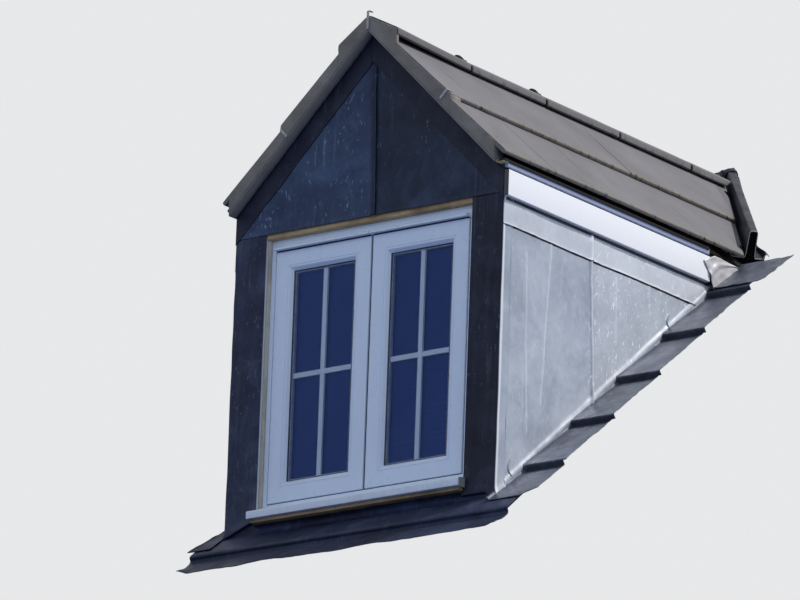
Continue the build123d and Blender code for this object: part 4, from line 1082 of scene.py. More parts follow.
def fasciaBoards(front, low, high, radius):
    # board along both eaves between four planes, its front arrises rounded and its face very slightly wavy
    back = fascia["back"]
    edge = box(back, low, front, high, [0.0008, radius, radius * 0.7, 0.0008], 5)
    boards = []
    for side in (1, -1):
        y = np.linspace(wallFace + fascia["start"][side], fasciaEnd, 30)[:, None]
        wave = np.abs(ripple(y, 0, 0.5, 61)) * 0.0005
        boards.append(bar(gridOf(side * (edge[:, 0] - wave * (edge[:, 0] > back + 0.001)), y, edge[:, 1])))
    return boards


fasciaLip = noseArris - fascia["shade"]
fasciaFront = fascia["back"] + fascia["thick"]
joined("fasciaBoards", fasciaBoards(fasciaFront, fasciaBase, fasciaLip, 0.003), fasciaPlastic, ["fascia_boards"])
# a strip stands back above the board; its blue-grey colour is painted shade under the tiles' overhang
joined("eavesTrim", fasciaBoards(fasciaFront - fascia["trimBack"], fasciaLip + fascia["trimUp"],
                                 fasciaTop + fascia["trimTop"], 0.001), shadeTrimPlastic)

# sawn end of the eave fillet, seen over the front end of the right fascia; its very pale timber is painted light
eaveBlock = {"low": (0.5650, -0.0975, fasciaTop - 0.0010), "high": (0.5990, -0.0690, fasciaTop + 0.0086)}
joined("eaveBlock", [plank(eaveBlock["low"], eaveBlock["high"], 0.001, 0.0002, 9, 1, 5)], endTimber)
print("roof made")


def outline(path, thickness):
    # closed outline of a line of (a, b) points given a thickness towards its left side
    along = directionOf(path)
    left = np.stack([-along[:, 1], along[:, 0]], -1)
    return np.concatenate([path, (path + left * thickness)[::-1]])


clip = {"width": 0.010, "thick": 0.0015, "hook": 0.026, "leg": 0.0415, "stand": 0.026, "strapLeg": 0.042}
clipBack = vergeFace - 0.0003


def vergeClips():
    # bent strips: up the face of the verge, round a small bend and back over the tiles
    def strip(low, high, dip, bend):
        hook = clipBack - clip["thick"] + clip["hook"]
        return outline(rounded([(clipBack, low), (clipBack, high), (hook, high - dip)], bend, 6, False), clip["thick"])

    parts = []
    wide = (np.array([-0.5, 0.5]) * clip["width"])[:, None]
    for side, shift, drop in ((1, -0.014, 0.0), (-1, 0.016, -0.0145)):
        level = noseTop - clip["width"] / 2 * fall + 0.0006 + drop
        edge = strip(level - clip["leg"], level, 0.0001, 0.003)
        parts.append(bar(onSlope(side, noseRuns[1] - clip["width"] + shift + wide, edge[None, :, 1], edge[None, :, 0])))
    edge = strip(ridgeApex - clip["strapLeg"], ridgeApex + clip["stand"] - clip["thick"], 0, 0.004)
    return parts + [bar(gridOf(wide, edge[None, :, 0], edge[None, :, 1]))]


joined("vergeClips", vergeClips(), clipMetal, ["verge_clips"])

leadThick = 0.0022
seam = {"z": [1.12, 1.155, 1.394, 1.616, 1.78], "x": [0.032, 0.031, 0.025, 0.017, 0.012], "lap": 0.006,
        "roll": 0.030, "high": 0.0075, "crease": [(0.520, 1.160), (0.545, 1.176), (0.566, 1.190)]}


def seamX(z):
    # the upright seam leans: where its free edge lies in x, over the height
    return np.interp(z, seam["z"], seam["x"])


def gableWave(x, z):
    # how far the gable's lead stands off its boards: broad pillows, finer dents and runs from dressing
    broad = ripple(x, z, 0.30, 71) * 0.0011
    fine = ripple(x, z, 0.075, 72) * 0.0005
    upright = ripple(x, z * 0.12, 0.05, 73) * 0.0003
    return np.clip(broad + fine + upright + 0.0010, 0, 0.004)


def gableBay(side):
    # one bay from the window's head up to the slope; the left one ends in a roll over the right one's edge
    t = np.concatenate([[0, 0.004, 0.012, 0.024], np.linspace(0.04, 1, 84)])[:, None]
    if side > 0:
        s = np.linspace(0, 1, 90)[None]
        start, end = 0.010, half
    else:
        s = np.concatenate([np.linspace(0, 0.955, 88), np.linspace(0.957, 1, 30)])[None]
        start, end = -half, 0.012
    top = rafterZ(start + s * (end - start)) - 0.001
    z = openTop + t * (top - openTop)
    if side > 0:
        start = seamX(z) - seam["lap"]
        x = start + s * (half - start)
        stand = 0.003 * hump(awayFrom(x, z, seam["crease"]) / 0.008)
    else:
        x = -half + s * (seamX(z) + half)
        past = (seamX(z) - x) / seam["roll"]
        dome = np.sqrt(np.clip(1 - (past * 1.05 - 0.32) ** 2 * 1.9, 0, 1))
        roll = seam["high"] * dome * ease((1.05 - past) / 0.25)
        fade = ease((rafterZ(x) - 0.100 - z) / 0.02)
        stand = roll * (0.25 + 0.75 * fade) * (1 + 0.12 * ripple(z, 0, 0.08, 74)) * (past < 1.2)
    low = hump((z - openTop) / 0.018) * 0.0016
    return np.stack([x, wallFace - gableWave(x, z) - stand - low, z], -1)


sheet("gableLeadRight", gableBay(1), shadeLead, leadThick * 0.6, ["gable_lead_right"])
grid = gableBay(-1)
# painted shade over the roll, put in with the sheet's last colour
seamShade = 0.8 * hump(((seamX(grid[..., 2]) - grid[..., 0]) / seam["roll"] - 0.3) / 0.8)
sheet("gableLeadLeft", grid, darkLead, leadThick, ["gable_lead_left"], False, seamShade)


rake = {"deep": 0.073, "wander": 0.0022, "under": 0.0005, "lip": 0.0014, "lipWide": 0.14, "overSeam": 0.006}


def rakeStrips():
    # one bent band under both slopes; its lower edge wanders and stands off a little; it swells over the seam
    x = np.concatenate([np.linspace(-half, -0.02, 110), np.linspace(-0.016, 0.016, 9), np.linspace(0.02, half, 110)])
    t = np.array([0, 0.15, 0.3, 0.45, 0.6, 0.75, 0.85, 0.92, 0.96, 0.985, 1.0])
    drop = rake["deep"] / cosGable + ripple(x, 0, 0.2, 75) * rake["wander"] - 0.0004
    z = rafterZ(x)[None] - rake["under"] - t[::-1, None] * drop[None]
    spread = np.broadcast_to(x[None], z.shape)
    lip = hump((1 - t[::-1, None]) / rake["lipWide"]) * rake["lip"] * (0.6 + 0.5 * ripple(x, 0, 0.07, 76)[None])
    overSeam = rake["overSeam"] * hump((x - seamX(1.68) + 0.010) / 0.022)[None] * t[::-1, None]
    y = wallFace - leadThick - gableWave(spread, z) - lip - overSeam
    return np.stack([spread, y, z], -1)


sheet("rakeStrips", rakeStrips(), deepLead, leadThick, ["rake_strips"])

postTop = openTop - 0.0003
post = {"inner": openHalf - 0.0010, "reveal": 0.016, "back": 0.055, "lift": 0.0015, "climb": {1: 0.020, -1: 0.050},
        "flare": 0.006}
foldY = wallFace + post["back"]


def tileTop(y):
    # height of the main roof's tile surface at y, steps included
    v = y / cosMain + roof["rise"] * tanMain
    level = tileLevel(y / cosMain + tileLevel(v) * tanMain)
    return y * tanMain + level / cosMain


def postFoot(side, x):
    # height of the post lead's lower edge over x: it climbs to the sill's end, most on the left
    away = np.clip((half - 0.006 - np.abs(x)) / (half - 0.006 - openHalf), 0, 1)
    return tileTop(wallFace) + post["lift"] + post["climb"][side] * (ease(away / 0.25) if side > 0 else away)


def postLead(side, seed):
    # plan line: in from the window, along the front, round the corner and back on to the cheek
    line = finer(rounded([(post["inner"], wallFace + post["reveal"]), (post["inner"], wallFace), (half, wallFace),
                          (half, foldY)], [0.001, 0.0025, 0.006, 0.001], 6, False), 0.004)
    run, along = distanceAlong(line), directionOf(line)
    foot = np.where(line[:, 1] < wallFace + 0.002, postFoot(side, line[:, 0]), tileTop(line[:, 1]) + post["lift"])
    t = np.concatenate([np.linspace(0, 0.08, 14), np.linspace(0.09, 0.94, 100), np.linspace(0.95, 1, 8)])[:, None]
    z = foot[None] + t * (postTop - foot)[None]
    wide = np.broadcast_to(run[None], z.shape)
    wave = ripple(wide, z * 0.09, 0.045, seed) * 0.0011 + ripple(wide, z, 0.2, seed + 1) * 0.001 + 0.0011
    wave = np.clip(wave, 0, 0.004) * ease((run - 0.012) / 0.02)[None]
    push = wave + post["flare"] * hump(t / 0.035) + 0.0016 * hump((run[-1] - wide) / 0.006)
    x = line[None, :, 0] + along[None, :, 1] * push
    y = line[None, :, 1] - along[None, :, 0] * push
    return np.stack([side * x, y, z], -1)


sheet("postLeadRight", postLead(1, 81), postSheet[1], leadThick, ["post_lead_right"])
sheet("postLeadLeft", postLead(-1, 85), postSheet[-1], leadThick, ["post_lead_left"], True)


def onTiles(low, high, lift, bend=0.006):
    # line of (v, w) over the main roof's tiles, from low to high, rounded where it drops over a nose
    corners = [(low, tileLevel(low) + lift)]
    nose = firstNose + math.ceil((low - firstNose) / roof["gauge"]) * roof["gauge"]
    while nose < high:
        corners += [(nose - lift, roof["rise"] - roof["tileThickness"] + lift), (nose - lift, roof["rise"] + lift)]
        nose += roof["gauge"]
    corners.append((high, tileLevel(high) + lift))
    return finer(rounded(corners, bend, 6, False), 0.007)


skirtTop = wallFace / cosMain + tileLevel(wallFace / cosMain + roof["rise"] * tanMain) * tanMain + leadThick / 2


skirt = {"wide": 0.235, "right": 0.719, "left": -0.640, "rightTaper": 0.012, "leftTaper": 0.020, "curl": (0.010, 0.012)}


def apronSkirt():
    # lead turned out over the tiles; wider to the right, with both lower corners curled up
    line = onTiles(skirtTop - skirt["wide"], skirtTop, leadThick, 0.022)
    s = np.concatenate([np.linspace(0, 0.04, 12), np.linspace(0.05, 0.95, 110), np.linspace(0.96, 1, 12)])
    v, w = line[:, 0], line[:, 1]
    t = ease((v - v[0]) / (v[-1] - v[0]))
    right = skirt["right"] - skirt["rightTaper"] * t + ripple(v, 0, 0.09, 91) * 0.004
    left = skirt["left"] - skirt["leftTaper"] * t + ripple(v, 0, 0.09, 92) * 0.004
    x = left[:, None] + (right - left)[:, None] * s[None]
    wander = ripple(x, 0, 0.35, 93) * 0.010 * (1 - t)[:, None] ** 2
    vv = v[:, None] + wander * (v < v[0] + 0.09)[:, None] * ease((v[0] + 0.09 - v) / 0.09)[:, None]
    dent = ripple(x, vv, 0.08, 94) * 0.0007 + ripple(x, vv, 0.028, 95) * 0.0004 + 0.0009
    lifted = skirt["curl"][0] * hump((x - right[:, None]) / 0.045) + skirt["curl"][1] * hump((x - left[:, None]) / 0.05)
    lifted = lifted * hump((v - v[0]) / 0.06)[:, None]
    edge = 0.0016 * hump((v - v[0]) / 0.012)[:, None] * (0.6 + 0.6 * ripple(x, 0, 0.05, 96))
    ww = w[:, None] + np.clip(dent, 0, 0.003) + lifted + np.clip(edge, 0, 1)
    return onRoof(x, vv, ww)


sheet("apronSkirt", apronSkirt(), skirtLead, leadThick, ["front_apron"])


upstand = {"out": 0.016, "head": openBase - 0.0012, "under": 0.012}


def apronUpstand():
    # the low upright part under the sill, bent out on to the skirt in a rounded fold; beside the window it runs up
    # behind the post's lead
    corner, head = tileTop(wallFace), upstand["head"]
    line = rounded([(wallFace - upstand["out"], corner - upstand["out"] * tanMain + 0.0035),
                    (wallFace - 0.0010, corner + 0.003), (wallFace - 0.0002, head)], 0.010, 8, False)
    x = np.concatenate([np.linspace(-half + 0.004, -openHalf - 0.001, 24),
                        np.linspace(-openHalf + 0.001, openHalf - 0.001, 110),
                        np.linspace(openHalf + 0.001, half - 0.004, 24)])
    middle = np.abs(x) < openHalf
    wave = np.clip(ripple(x, 0, 0.10, 97) * 0.0012 + 0.0012, 0, 0.003) * middle
    top = np.where(middle, head, np.where(x > 0, postFoot(1, x), postFoot(-1, x)) + upstand["under"])
    share = np.clip((line[:, 1] - corner) / (head - corner), 0, 1)[:, None]
    z = line[:, 1, None] - share * (head - top)[None] + wave[None] * 0.4
    return gridOf(x[None], line[:, 0, None] - wave[None] * 0.6, z)


sheet("apronUpstand", apronUpstand(), apronLead, leadThick)

cheek = {"lap": fasciaBase - 0.0975, "lapSwing": 0.0012, "lapPace": 9.5, "lapShift": 0.8, "base": -0.0076,
         "weltZ": [0.50, 1.0, 1.12], "weltY": [0.478, 0.447, 0.444], "weltHigh": 0.0075, "stripWelt": 0.0085,
         "footBand": (0.014, 0.016, 0.0036), "curlHigh": 0.0034}


def paintedLapShadow(f):
    # painted shadow: a black line under the lap and a black band under the fascia
    swing = f.sums("SINE", f.sums("ADD", f.both(f.axis("Y"), cheek["lapPace"]), cheek["lapShift"]), 0.0)
    lap = f.sums("ADD", f.both(swing, cheek["lapSwing"]), cheek["lap"])
    below = f.sums("SUBTRACT", lap, f.axis("Z"))
    line = f.both(f.span(below, -0.0012, -0.0002), f.span(below, 0.0056, 0.0044))
    line = f.both(line, f.span(f.axis("Y"), foldY - 0.04, foldY - 0.02, 0.5, 1.0))
    band = f.span(f.axis("Z"), fasciaBase - 0.0125, fasciaBase - 0.0095)
    return f.sums("MAXIMUM", line, band)


# the cheek faces the sun: its pale tones are painted light, the near-white colour paints highlights along the welt, the
# creases and the foot, and black painted shadow lies under the lap and the fascia
paleLead = leadFinish("leadOnCheek", "pale", 0.44, 0.25, 0.35, 1.0, 1.3, False, paintedLapShadow, (238, 240, 243), 0.4)


def weltY(z):
    # the upright welt on the cheek leans a little towards the back at its foot
    return np.interp(z, cheek["weltZ"], cheek["weltY"])


def cheekWave(y, z, seed):
    # how far the cheek's lead stands off: pillows between the fixings and long upright creases
    broad = ripple(y, z, 0.28, seed) * 0.0016
    fine = ripple(y, z, 0.06, seed + 1) * 0.0006
    upright = ripple(y, z * 0.15, 0.07, seed + 2) * 0.0006
    return np.clip(broad + fine + upright + 0.0014, 0, 0.005)


def cheekFoot(y):
    # where the cheek's lead ends behind the flashing
    return tilesAt(y) + cheek["base"]


def footBand(y, z):
    # the band dressed over the flashing's upstand, square out of the tiles
    at, wide, high = cheek["footBand"]
    return high * hump(((z - cheekFoot(y)) * cosMain - at) / wide)


# lines in (y, z) along the laps that curl at the flashing
lapCurls = ([(0.020, 0.126), (0.006, 0.143), (0.002, 0.162), (0.010, 0.181)],
            [(0.489, 0.514), (0.473, 0.530), (0.470, 0.548), (0.478, 0.562)],
            [(0.928, 0.868), (0.914, 0.886), (0.909, 0.908), (0.921, 0.930)])
# creases of the front and the rear bay: their height, half their width, how strong a highlight is painted along them,
# and their lines
creases = {False: (0.0024, 0.012, 0.40, ([(0.073, 0.93), (0.084, 0.60), (0.105, 0.30)],
                                         [(0.215, 1.0), (0.196, 0.72), (0.179, 0.42)])),
           True: (0.0020, 0.011, 0.35, ([(0.60, 0.98), (0.612, 0.74)], [(0.80, 1.0), (0.812, 0.90)]))}


def cheekBay(side, rear, seed):
    # grid down from the top edge to the roof line; rows follow the height, columns run back; bright is a painted
    # highlight along the welt, the creases and the dressed foot
    top = fasciaBase - 0.0003
    if rear:
        u = np.concatenate([np.linspace(0, 0.05, 16), np.linspace(0.06, 1, 90)])
        first, last = weltY(top) - 0.004, tileY(top - cheek["base"]) - 0.004
    else:
        u = np.concatenate([np.linspace(0, 0.94, 80), np.linspace(0.945, 1, 18)])
        first, last = foldY - 0.004, weltY(top) + 0.012
    t = np.concatenate([np.linspace(0, 0.06, 10), np.linspace(0.075, 1, 78)])
    yy = first + (last - first) * u
    z = cheekFoot(yy)[None] + t[:, None] * (top - cheekFoot(yy))[None]
    y = yy[None] + (weltY(z) - weltY(top)) * (1 - u if rear else u)[None]
    z = np.maximum(z, cheekFoot(y))
    away = y - weltY(z)
    stand = cheekWave(y, z, seed)
    if rear:
        stand = stand + 0.0015 * hump(away / 0.004)
        bright = 0.0
    else:
        welt = cheek["weltHigh"] * hump((away - 0.002) / 0.010) ** 0.6 + 0.0018 * hump((away + 0.016) / 0.009)
        stand = stand + welt * (1 + 0.15 * ripple(z, 0, 0.09, seed + 3))
        bright = 0.45 * hump((away - 0.001) / 0.008)
    high, wide, highlightAmount, lines = creases[rear]
    for line in lines:
        stand = stand + high * hump(awayFrom(y, z, line) / wide)
        bright = bright + highlightAmount * hump(awayFrom(y, z, line) / 0.008)
    stand = stand + footBand(y, z) * (1 + 0.2 * ripple(y, z, 0.05, seed + 4))
    above = (z - cheekFoot(y)) * cosMain
    bright = bright + 0.65 * hump((above - 0.019) / 0.013) * (0.75 + 0.5 * ripple(y, z, 0.09, seed + 5))
    for line in lapCurls:
        stand = stand + cheek["curlHigh"] * hump(awayFrom(y, z, line) / 0.0055)
    return np.stack([side * (half + stand), y, z], -1), np.clip(bright, 0, 1)


for side, tag, name, seed in pair(101, 131):
    for rear, place, stands in ((True, "Rear", ["cheek_lead_" + tag]), (False, "Front", ())):
        points, bright = cheekBay(side, rear, seed)
        sheet("cheekLead" + place + name, points, paleLead, leadThick, stands, side < 0, bright)


def lapHooks(side, seed):
    # dark curled edge where a dressed lap ends at the flashing: a narrow strip along each line, tapered at both ends;
    # its dark rake lead is painted shade under the curl
    parts = []
    for line in lapCurls:
        path = rounded(line, 0.012, 6, False)
        y, z = path[:, 0], path[:, 1]
        along = directionOf(path)
        wide = 0.0004 + 0.0016 * np.sqrt(np.sin(np.pi * np.linspace(0, 1, len(path))))
        stand = half + cheekWave(y, z, seed) + cheek["curlHigh"] + footBand(y, z)
        corners = [np.stack([side * (stand + out), y - s * wide * along[:, 1], z + s * wide * along[:, 0]], -1)
                   for out, s in ((-0.0015, -1), (-0.0015, 1), (0.0016, 1), (0.0016, -1))]
        parts.append(bar(np.stack(corners, 1)))
    return parts


joined("lapCurls", lapHooks(1, 101) + lapHooks(-1, 131), deepLead)


def cheekStrip(side, seed):
    # cover strip over both bays, tucked up behind the fascia; its lower edge wanders; bright is a painted highlight
    # along its welt
    y0, back = wallFace + 0.002, tileY(cheek["lap"] - 0.0034) - 0.004
    y = np.linspace(y0, back, 190)
    base = cheek["lap"] + cheek["lapSwing"] * np.sin(cheek["lapPace"] * y + cheek["lapShift"])
    t = np.array([0, 0.01, 0.03, 0.06, 0.12, 0.24, 0.36, 0.48, 0.6, 0.72, 0.84, 0.95, 1.0, 1.1, 1.2, 1.5])
    z = base[None] + t[:, None] * (fasciaBase - 0.004 - base)[None]
    z = np.minimum(z, fasciaBase + 0.030)
    yy = y[None] + np.clip((z - base[None]) / tanMain, 0, None) * ease((y - back + 0.4) / 0.4)[None]
    front = ease(1 - (yy - y0) / 0.02)
    stand = leadThick + cheekWave(yy, np.minimum(z, fasciaBase - 0.02), seed - 2) * ease((fasciaBase + 0.01 - z) / 0.05)
    welt = cheek["stripWelt"] * hump((yy - weltY(z) - 0.002) / 0.010)
    lip = 0.0026 * hump(t[:, None] / 0.08) * (0.7 + 0.6 * ripple(yy, 0, 0.06, seed + 3))
    most = np.where(z > fasciaBase - 0.004, 0.0028, 0.02)
    stand = np.minimum(stand + welt + np.clip(lip, 0, 1), most) * (1 - 0.6 * front)
    bright = hump((yy - weltY(z)) / 0.007) * ease((fasciaBase - 0.012 - z) / 0.01)
    return np.stack([side * (half + stand), yy, z], -1), bright


for side, tag, name, seed in pair(103, 133):
    points, bright = cheekStrip(side, seed)
    sheet("cheekStrip" + name, points, paleLead, leadThick, ["cheek_strip_" + tag], side < 0, bright)

flash = {"inner": half - leadThick, "low": {1: skirtTop - 0.042, -1: skirtTop - 0.094},
         "high": tileY(fasciaBase) / cosMain + roof["rise"] * tanMain, "lift": leadThick * 2.2, "outer": 0.768,
         "taper": 0.016, "rightNotch": 0.046, "turnUp": 0.013, "noseShadowAt": 0.014, "noseShadowWide": 0.017,
         "leftV": [-0.125, 0.05, 0.12, 0.22, 0.30, 0.31], "leftX": [0.677, 0.628, 0.632, 0.690, 0.745, 9]}


def sideFlashing(side, seed):
    # lead in overlapping lengths over the tile courses; each length's outer edge is cut a little differently; also
    # returns a painted shadow under each nose
    line = onTiles(flash["low"][side], flash["high"] - 0.010, flash["lift"], 0.004)
    v, w = line[:, 0], line[:, 1]
    rng = np.random.default_rng(seed)
    past = v - firstNose + flash["lift"]
    course = np.clip(np.floor(past / roof["gauge"]).astype(int) + 1, 0, 6)
    part = np.mod(past, roof["gauge"]) / roof["gauge"]
    outer = flash["outer"] - flash["taper"] * part + rng.uniform(-0.004, 0.004, 7)[course]
    outer = outer + ripple(v, 0, 0.2, seed) * 0.003
    if side > 0:
        outer = outer - flash["rightNotch"] * hump((v - v[0]) / 0.06)
    else:
        outer = np.minimum(outer, np.interp(v, flash["leftV"], flash["leftX"]))
    s = np.concatenate([np.linspace(0, 0.9, 40), np.linspace(0.92, 1, 8)])
    x = flash["inner"] + (outer - flash["inner"])[:, None] * s[None]
    vv = np.broadcast_to(v[:, None], x.shape)
    dent = ripple(x, vv, 0.07, seed + 1) * 0.0008 + ripple(x, vv, 0.024, seed + 2) * 0.0004 + 0.0009
    edge = 0.0024 * hump((1 - s) / 0.06)[None] * (0.8 + 0.5 * ripple(vv, 0, 0.06, seed + 3))
    turnUp = flash["turnUp"] * ease(1 - (x - flash["inner"]) / 0.010) ** 2
    if side < 0:
        turnUp = turnUp * ease((v - skirtTop) / 0.012)[:, None]
    ww = w[:, None] + np.clip(dent, 0, 0.003) + np.clip(edge, 0, 1) + turnUp
    points = onRoof(x, vv, ww)
    points[..., 0] *= side
    # painted shadow: a dark band under each tile nose
    below = np.mod(v - firstNose + roof["gauge"] / 2, roof["gauge"]) - roof["gauge"] / 2 + flash["noseShadowAt"]
    return points, hump(below / flash["noseShadowWide"])[:, None] * ease((x - half - 0.006) / 0.012)


# the right flashing takes the sunlit flashing tones, and the left one takes the apron's shaded tones as painted shade
for side, tag, name, seed in pair(151, 161):
    points, noseShadow = sideFlashing(side, seed)
    sheet("sideFlashing" + name, points, flashLead if side > 0 else apronLead, leadThick, ["side_flashing_" + tag],
          side > 0, noseShadow)

gusset = {"low": 0.052, "high": 0.012, "outer": 0.816, "limit": 0.8185, "y": (1.1697, 1.305), "u": [0, 0.35, 1],
          "headY": [1.0996, 1.1636, 1.300], "headZ": [1.1734, 1.2046, 1.1985]}


def gussetFlap(side, seed):
    # pale flap on the tiles under the valley's foot, its outer end cut slanting
    low = flash["high"] - gusset["low"]
    high = tileY(fasciaTop) / cosMain + roof["rise"] * tanMain + gusset["high"]
    line = onTiles(low, high, leadThick * 3.4, 0.006)
    v, w = line[:, 0], line[:, 1]
    share = (v - low) / (high - low)
    outer = np.minimum(gusset["outer"] + ripple(v, 0, 0.05, seed) * 0.003, gusset["limit"])
    s = np.linspace(0, 1, 44)
    x = fascia["back"] + (outer - fascia["back"])[:, None] * s[None]
    vv = np.broadcast_to(v[:, None], x.shape)
    dent = np.clip(ripple(x, vv, 0.06, seed + 1) * 0.0016 + 0.0014, 0, 0.004)
    ww = w[:, None] + dent + 0.003 * hump((1 - s) / 0.07)[None] + 0.004 * hump(share / 0.12)[:, None]
    points = onRoof(x, vv, ww)
    points[..., 0] *= side
    return points


def gussetLeaf(side, seed):
    # upright leaf wrapped over the fascia's slanting end and folded under the foot of the valley
    u = np.linspace(0, 1, 40)
    head = np.stack([np.interp(u, gusset["u"], gusset["headY"]), np.interp(u, gusset["u"], gusset["headZ"])], -1)
    along = gusset["y"][0] + u * (gusset["y"][1] - gusset["y"][0])
    base = np.stack([along, tilesAt(along) - 0.006], -1)
    t = np.linspace(0, 1, 22)[:, None, None]
    spots = base[None] + t * (head - base)[None]
    y, z = spots[..., 0] - 0.003 * np.sin(t[..., 0] * 8) * (1 - u)[None], spots[..., 1]
    out = fascia["thick"] + leadThick + np.clip(ripple(y, z, 0.06, seed) * 0.0026 + 0.0022, 0, 0.006)
    out = out + 0.004 * hump((t[..., 0] - 0.55 - 0.3 * u[None]) / 0.16)
    return np.stack([side * (fascia["back"] + out), y, z], -1)


for side, tag, name, seed in pair(171, 181):
    sheet("gussetFlap" + name, gussetFlap(side, seed), flashLead, leadThick, ["valley_gussets"] if side > 0 else (),
          side > 0)
    sheet("gussetLeaf" + name, gussetLeaf(side, seed), gussetLead, leadThick, (), side < 0)

valley = {"ribHigh": 0.092, "ribBase": 0.036, "ribTop": 0.024, "channel": 0.052, "outer": 0.030, "fold": 0.008,
          "thick": 0.0025, "tail": 0.025, "board": 0.012, "reach": 0.062, "depth": 0.046, "farKeep": 0.022,
          "farShare": 0.35, "farBy": 0.16, "flatten": 0.028, "flatWide": 0.075, "ribGrow": 0.045, "ribShrink": 0.075}


def unit(v):
    # a vector's direction, one long
    return np.array(v, float) / np.linalg.norm(v)


down = unit([1, -valleyRun, -1])
slopeNormal = np.array([cosGable, 0, cosGable])
mainNormal = np.array([0, -sinMain, cosMain])
up = unit(slopeNormal + mainNormal)
across = np.cross(up, down)
armRise = math.tan(math.acos(float(slopeNormal @ up)))
footX = tileSet["edge"] - valley["tail"]
foot = np.array([footX, tileY(tileApex - footX), tileApex - footX])
drop = (noseTop - valley["board"]) / float(slopeNormal @ up)


def troughPath():
    # underside of the trough: outer channel with a curl, a fold, the channel, the rib and a shorter far channel
    def arm(x, lift=0.0):
        return (x, x * armRise - drop + lift)

    base = valley["ribBase"] / 2
    fold1 = base + valley["channel"]
    fold2 = fold1 + 2 * valley["fold"]
    outer = fold2 + valley["outer"]
    top = (valley["ribTop"] / 2 + 0.001, valley["ribHigh"] - drop)
    near = [arm(outer + 0.004, 0.008 - 0.008 * armRise), arm(outer), arm(fold2),
            arm(fold1 + valley["fold"], valley["fold"]), arm(fold1), arm(base + 0.004),
            (base - 0.001, 0.020 - drop), top]
    far = [top, (base - 0.005, 0.020 - drop), arm(base - 0.002), arm(0.046), arm(0.056, 0.016), arm(0.066, 0.008)]
    radius = [0.001, 0.004, 0.004, 0.005, 0.005, 0.010, 0.012, 0.006, 0.006, 0.012, 0.008, 0.006, 0.006, 0.001]
    return rounded([(-x, z) for x, z in near] + far, radius, 6, False)


def alongValley(side, edge, low, high, stations, swell=0.0, seed=0):
    # section (a, b) square to the valley, carried up from the foot to the plane between both sides;
    # the channels flatten towards the foot, the rib is tallest there and the far channel is cut back beyond it
    a, b = edge[:, 0], edge[:, 1]

    def bent(s):
        share = s / (foot[0] / down[0])
        rib = np.clip((b + drop - np.abs(a) * armRise) / valley["ribHigh"], 0, 1)
        keep, least = valley["farKeep"], valley["farShare"]
        wide = np.where(a > keep, keep + (a - keep) * (least + (1 - least) * hump(s / valley["farBy"])), a)
        flat = valley["flatten"] * hump(a / valley["flatWide"]) * (1 - share) * (1 - rib)
        return wide, b + flat + rib * (valley["ribGrow"] - valley["ribShrink"] * share) + (wide - a) * armRise

    def middle(wide, level):
        return (foot[0] + wide * across[0] + level * up[0]) / down[0]

    last = middle(*bent(middle(a, b)))
    s = low + (np.minimum(last, high) - low)[None] * np.asarray(stations)[:, None]
    wide, level = bent(s)
    level = level + ripple(s, a[None], 0.18, seed) * swell
    points = foot + wide[..., None] * across + level[..., None] * up - s[..., None] * down
    points[..., 0] = side * np.maximum(points[..., 0], 0)
    return points


troughEdge = outline(troughPath(), valley["thick"])
beyond = 9.0  # further up than the middle plane, where alongValley stops anyway
stations = np.concatenate([[0, 0.0022, 0.0034], np.linspace(0.012, 1, 60)])
rim = np.repeat(np.arange(len(stations)) < 2, len(troughEdge)).astype(float)
for side, tag, name, seed in pair(191, 191):
    points = alongValley(side, troughEdge, 0.0, beyond, stations, 0.0006, seed)
    joined("valleyTrough" + name, [bar(points)], troughPlastic, ["valley_trough_" + tag], 45, rim)

# black foam closes the foot of each trough from below
filler = {"right": 0.050, "left": -0.070, "under": 0.018, "deep": 0.026, "from": 0.007, "to": 0.060}
under = np.concatenate([troughPath()[6:-6], [
    (filler["right"], filler["right"] * armRise - drop - filler["under"]), (0.0, -drop - filler["deep"]),
    (filler["left"], -filler["left"] * armRise - drop - filler["under"])]])
joined("valleyFillers", [bar(alongValley(s, under, filler["from"], filler["to"], [0, 1])) for s in (1, -1)], jointSeal)


def saddleHood():
    # hood over the meeting ribs: a rounded cap carried over the middle in one bend, with two raised bands on each side
    ribTop = np.array([[0.0, valley["ribHigh"] - drop + valley["thick"] + 0.0006]])
    crest = alongValley(1, ribTop, footX / down[0] - valley["reach"], beyond, np.linspace(0, 1, 24))[:, 0]
    bend, middle, mirror = crest[12], crest[-1], np.array([-1, 1, 1])
    t = np.linspace(0, 1, 15)[:, None]
    arc = (1 - t) ** 2 * bend + 2 * t * (1 - t) * middle + t ** 2 * bend * mirror
    line = np.concatenate([crest[:12], arc, crest[:12][::-1] * mirror])
    along = directionOf(line)
    out = np.clip(line[:, :1] / bend[0], -1, 1) * [up[0], 0, 0] + [0, up[1], up[2]]
    beside = np.cross(along, out)
    beside /= np.linalg.norm(beside, axis=1, keepdims=True)
    out = np.cross(beside, along)
    wide = valley["ribTop"] / 2 + 2 * valley["thick"]
    edge = outline(rounded([(-wide - 0.004, -valley["depth"]), (-wide, 0), (wide, 0), (wide + 0.004, -valley["depth"])],
                           [0.001, 0.014, 0.014, 0.001], 9, False), 0.003)
    run = distanceAlong(line)
    run = np.minimum(run, run[-1] - run)
    band = np.maximum(run < 0.009, (run > 0.026) & (run < 0.036)).astype(float)[:, None]
    a = edge[None, :, 0] * (1 + 0.09 * band)
    b = edge[None, :, 1] + 0.0018 * band
    points = line[:, None] + a[..., None] * beside[:, None] + b[..., None] * out[:, None]
    return [bar(points)]


joined("ridgeSaddle", saddleHood(), troughPlastic, ["ridge_saddle"], 40)
print("lead, verge and valley made")

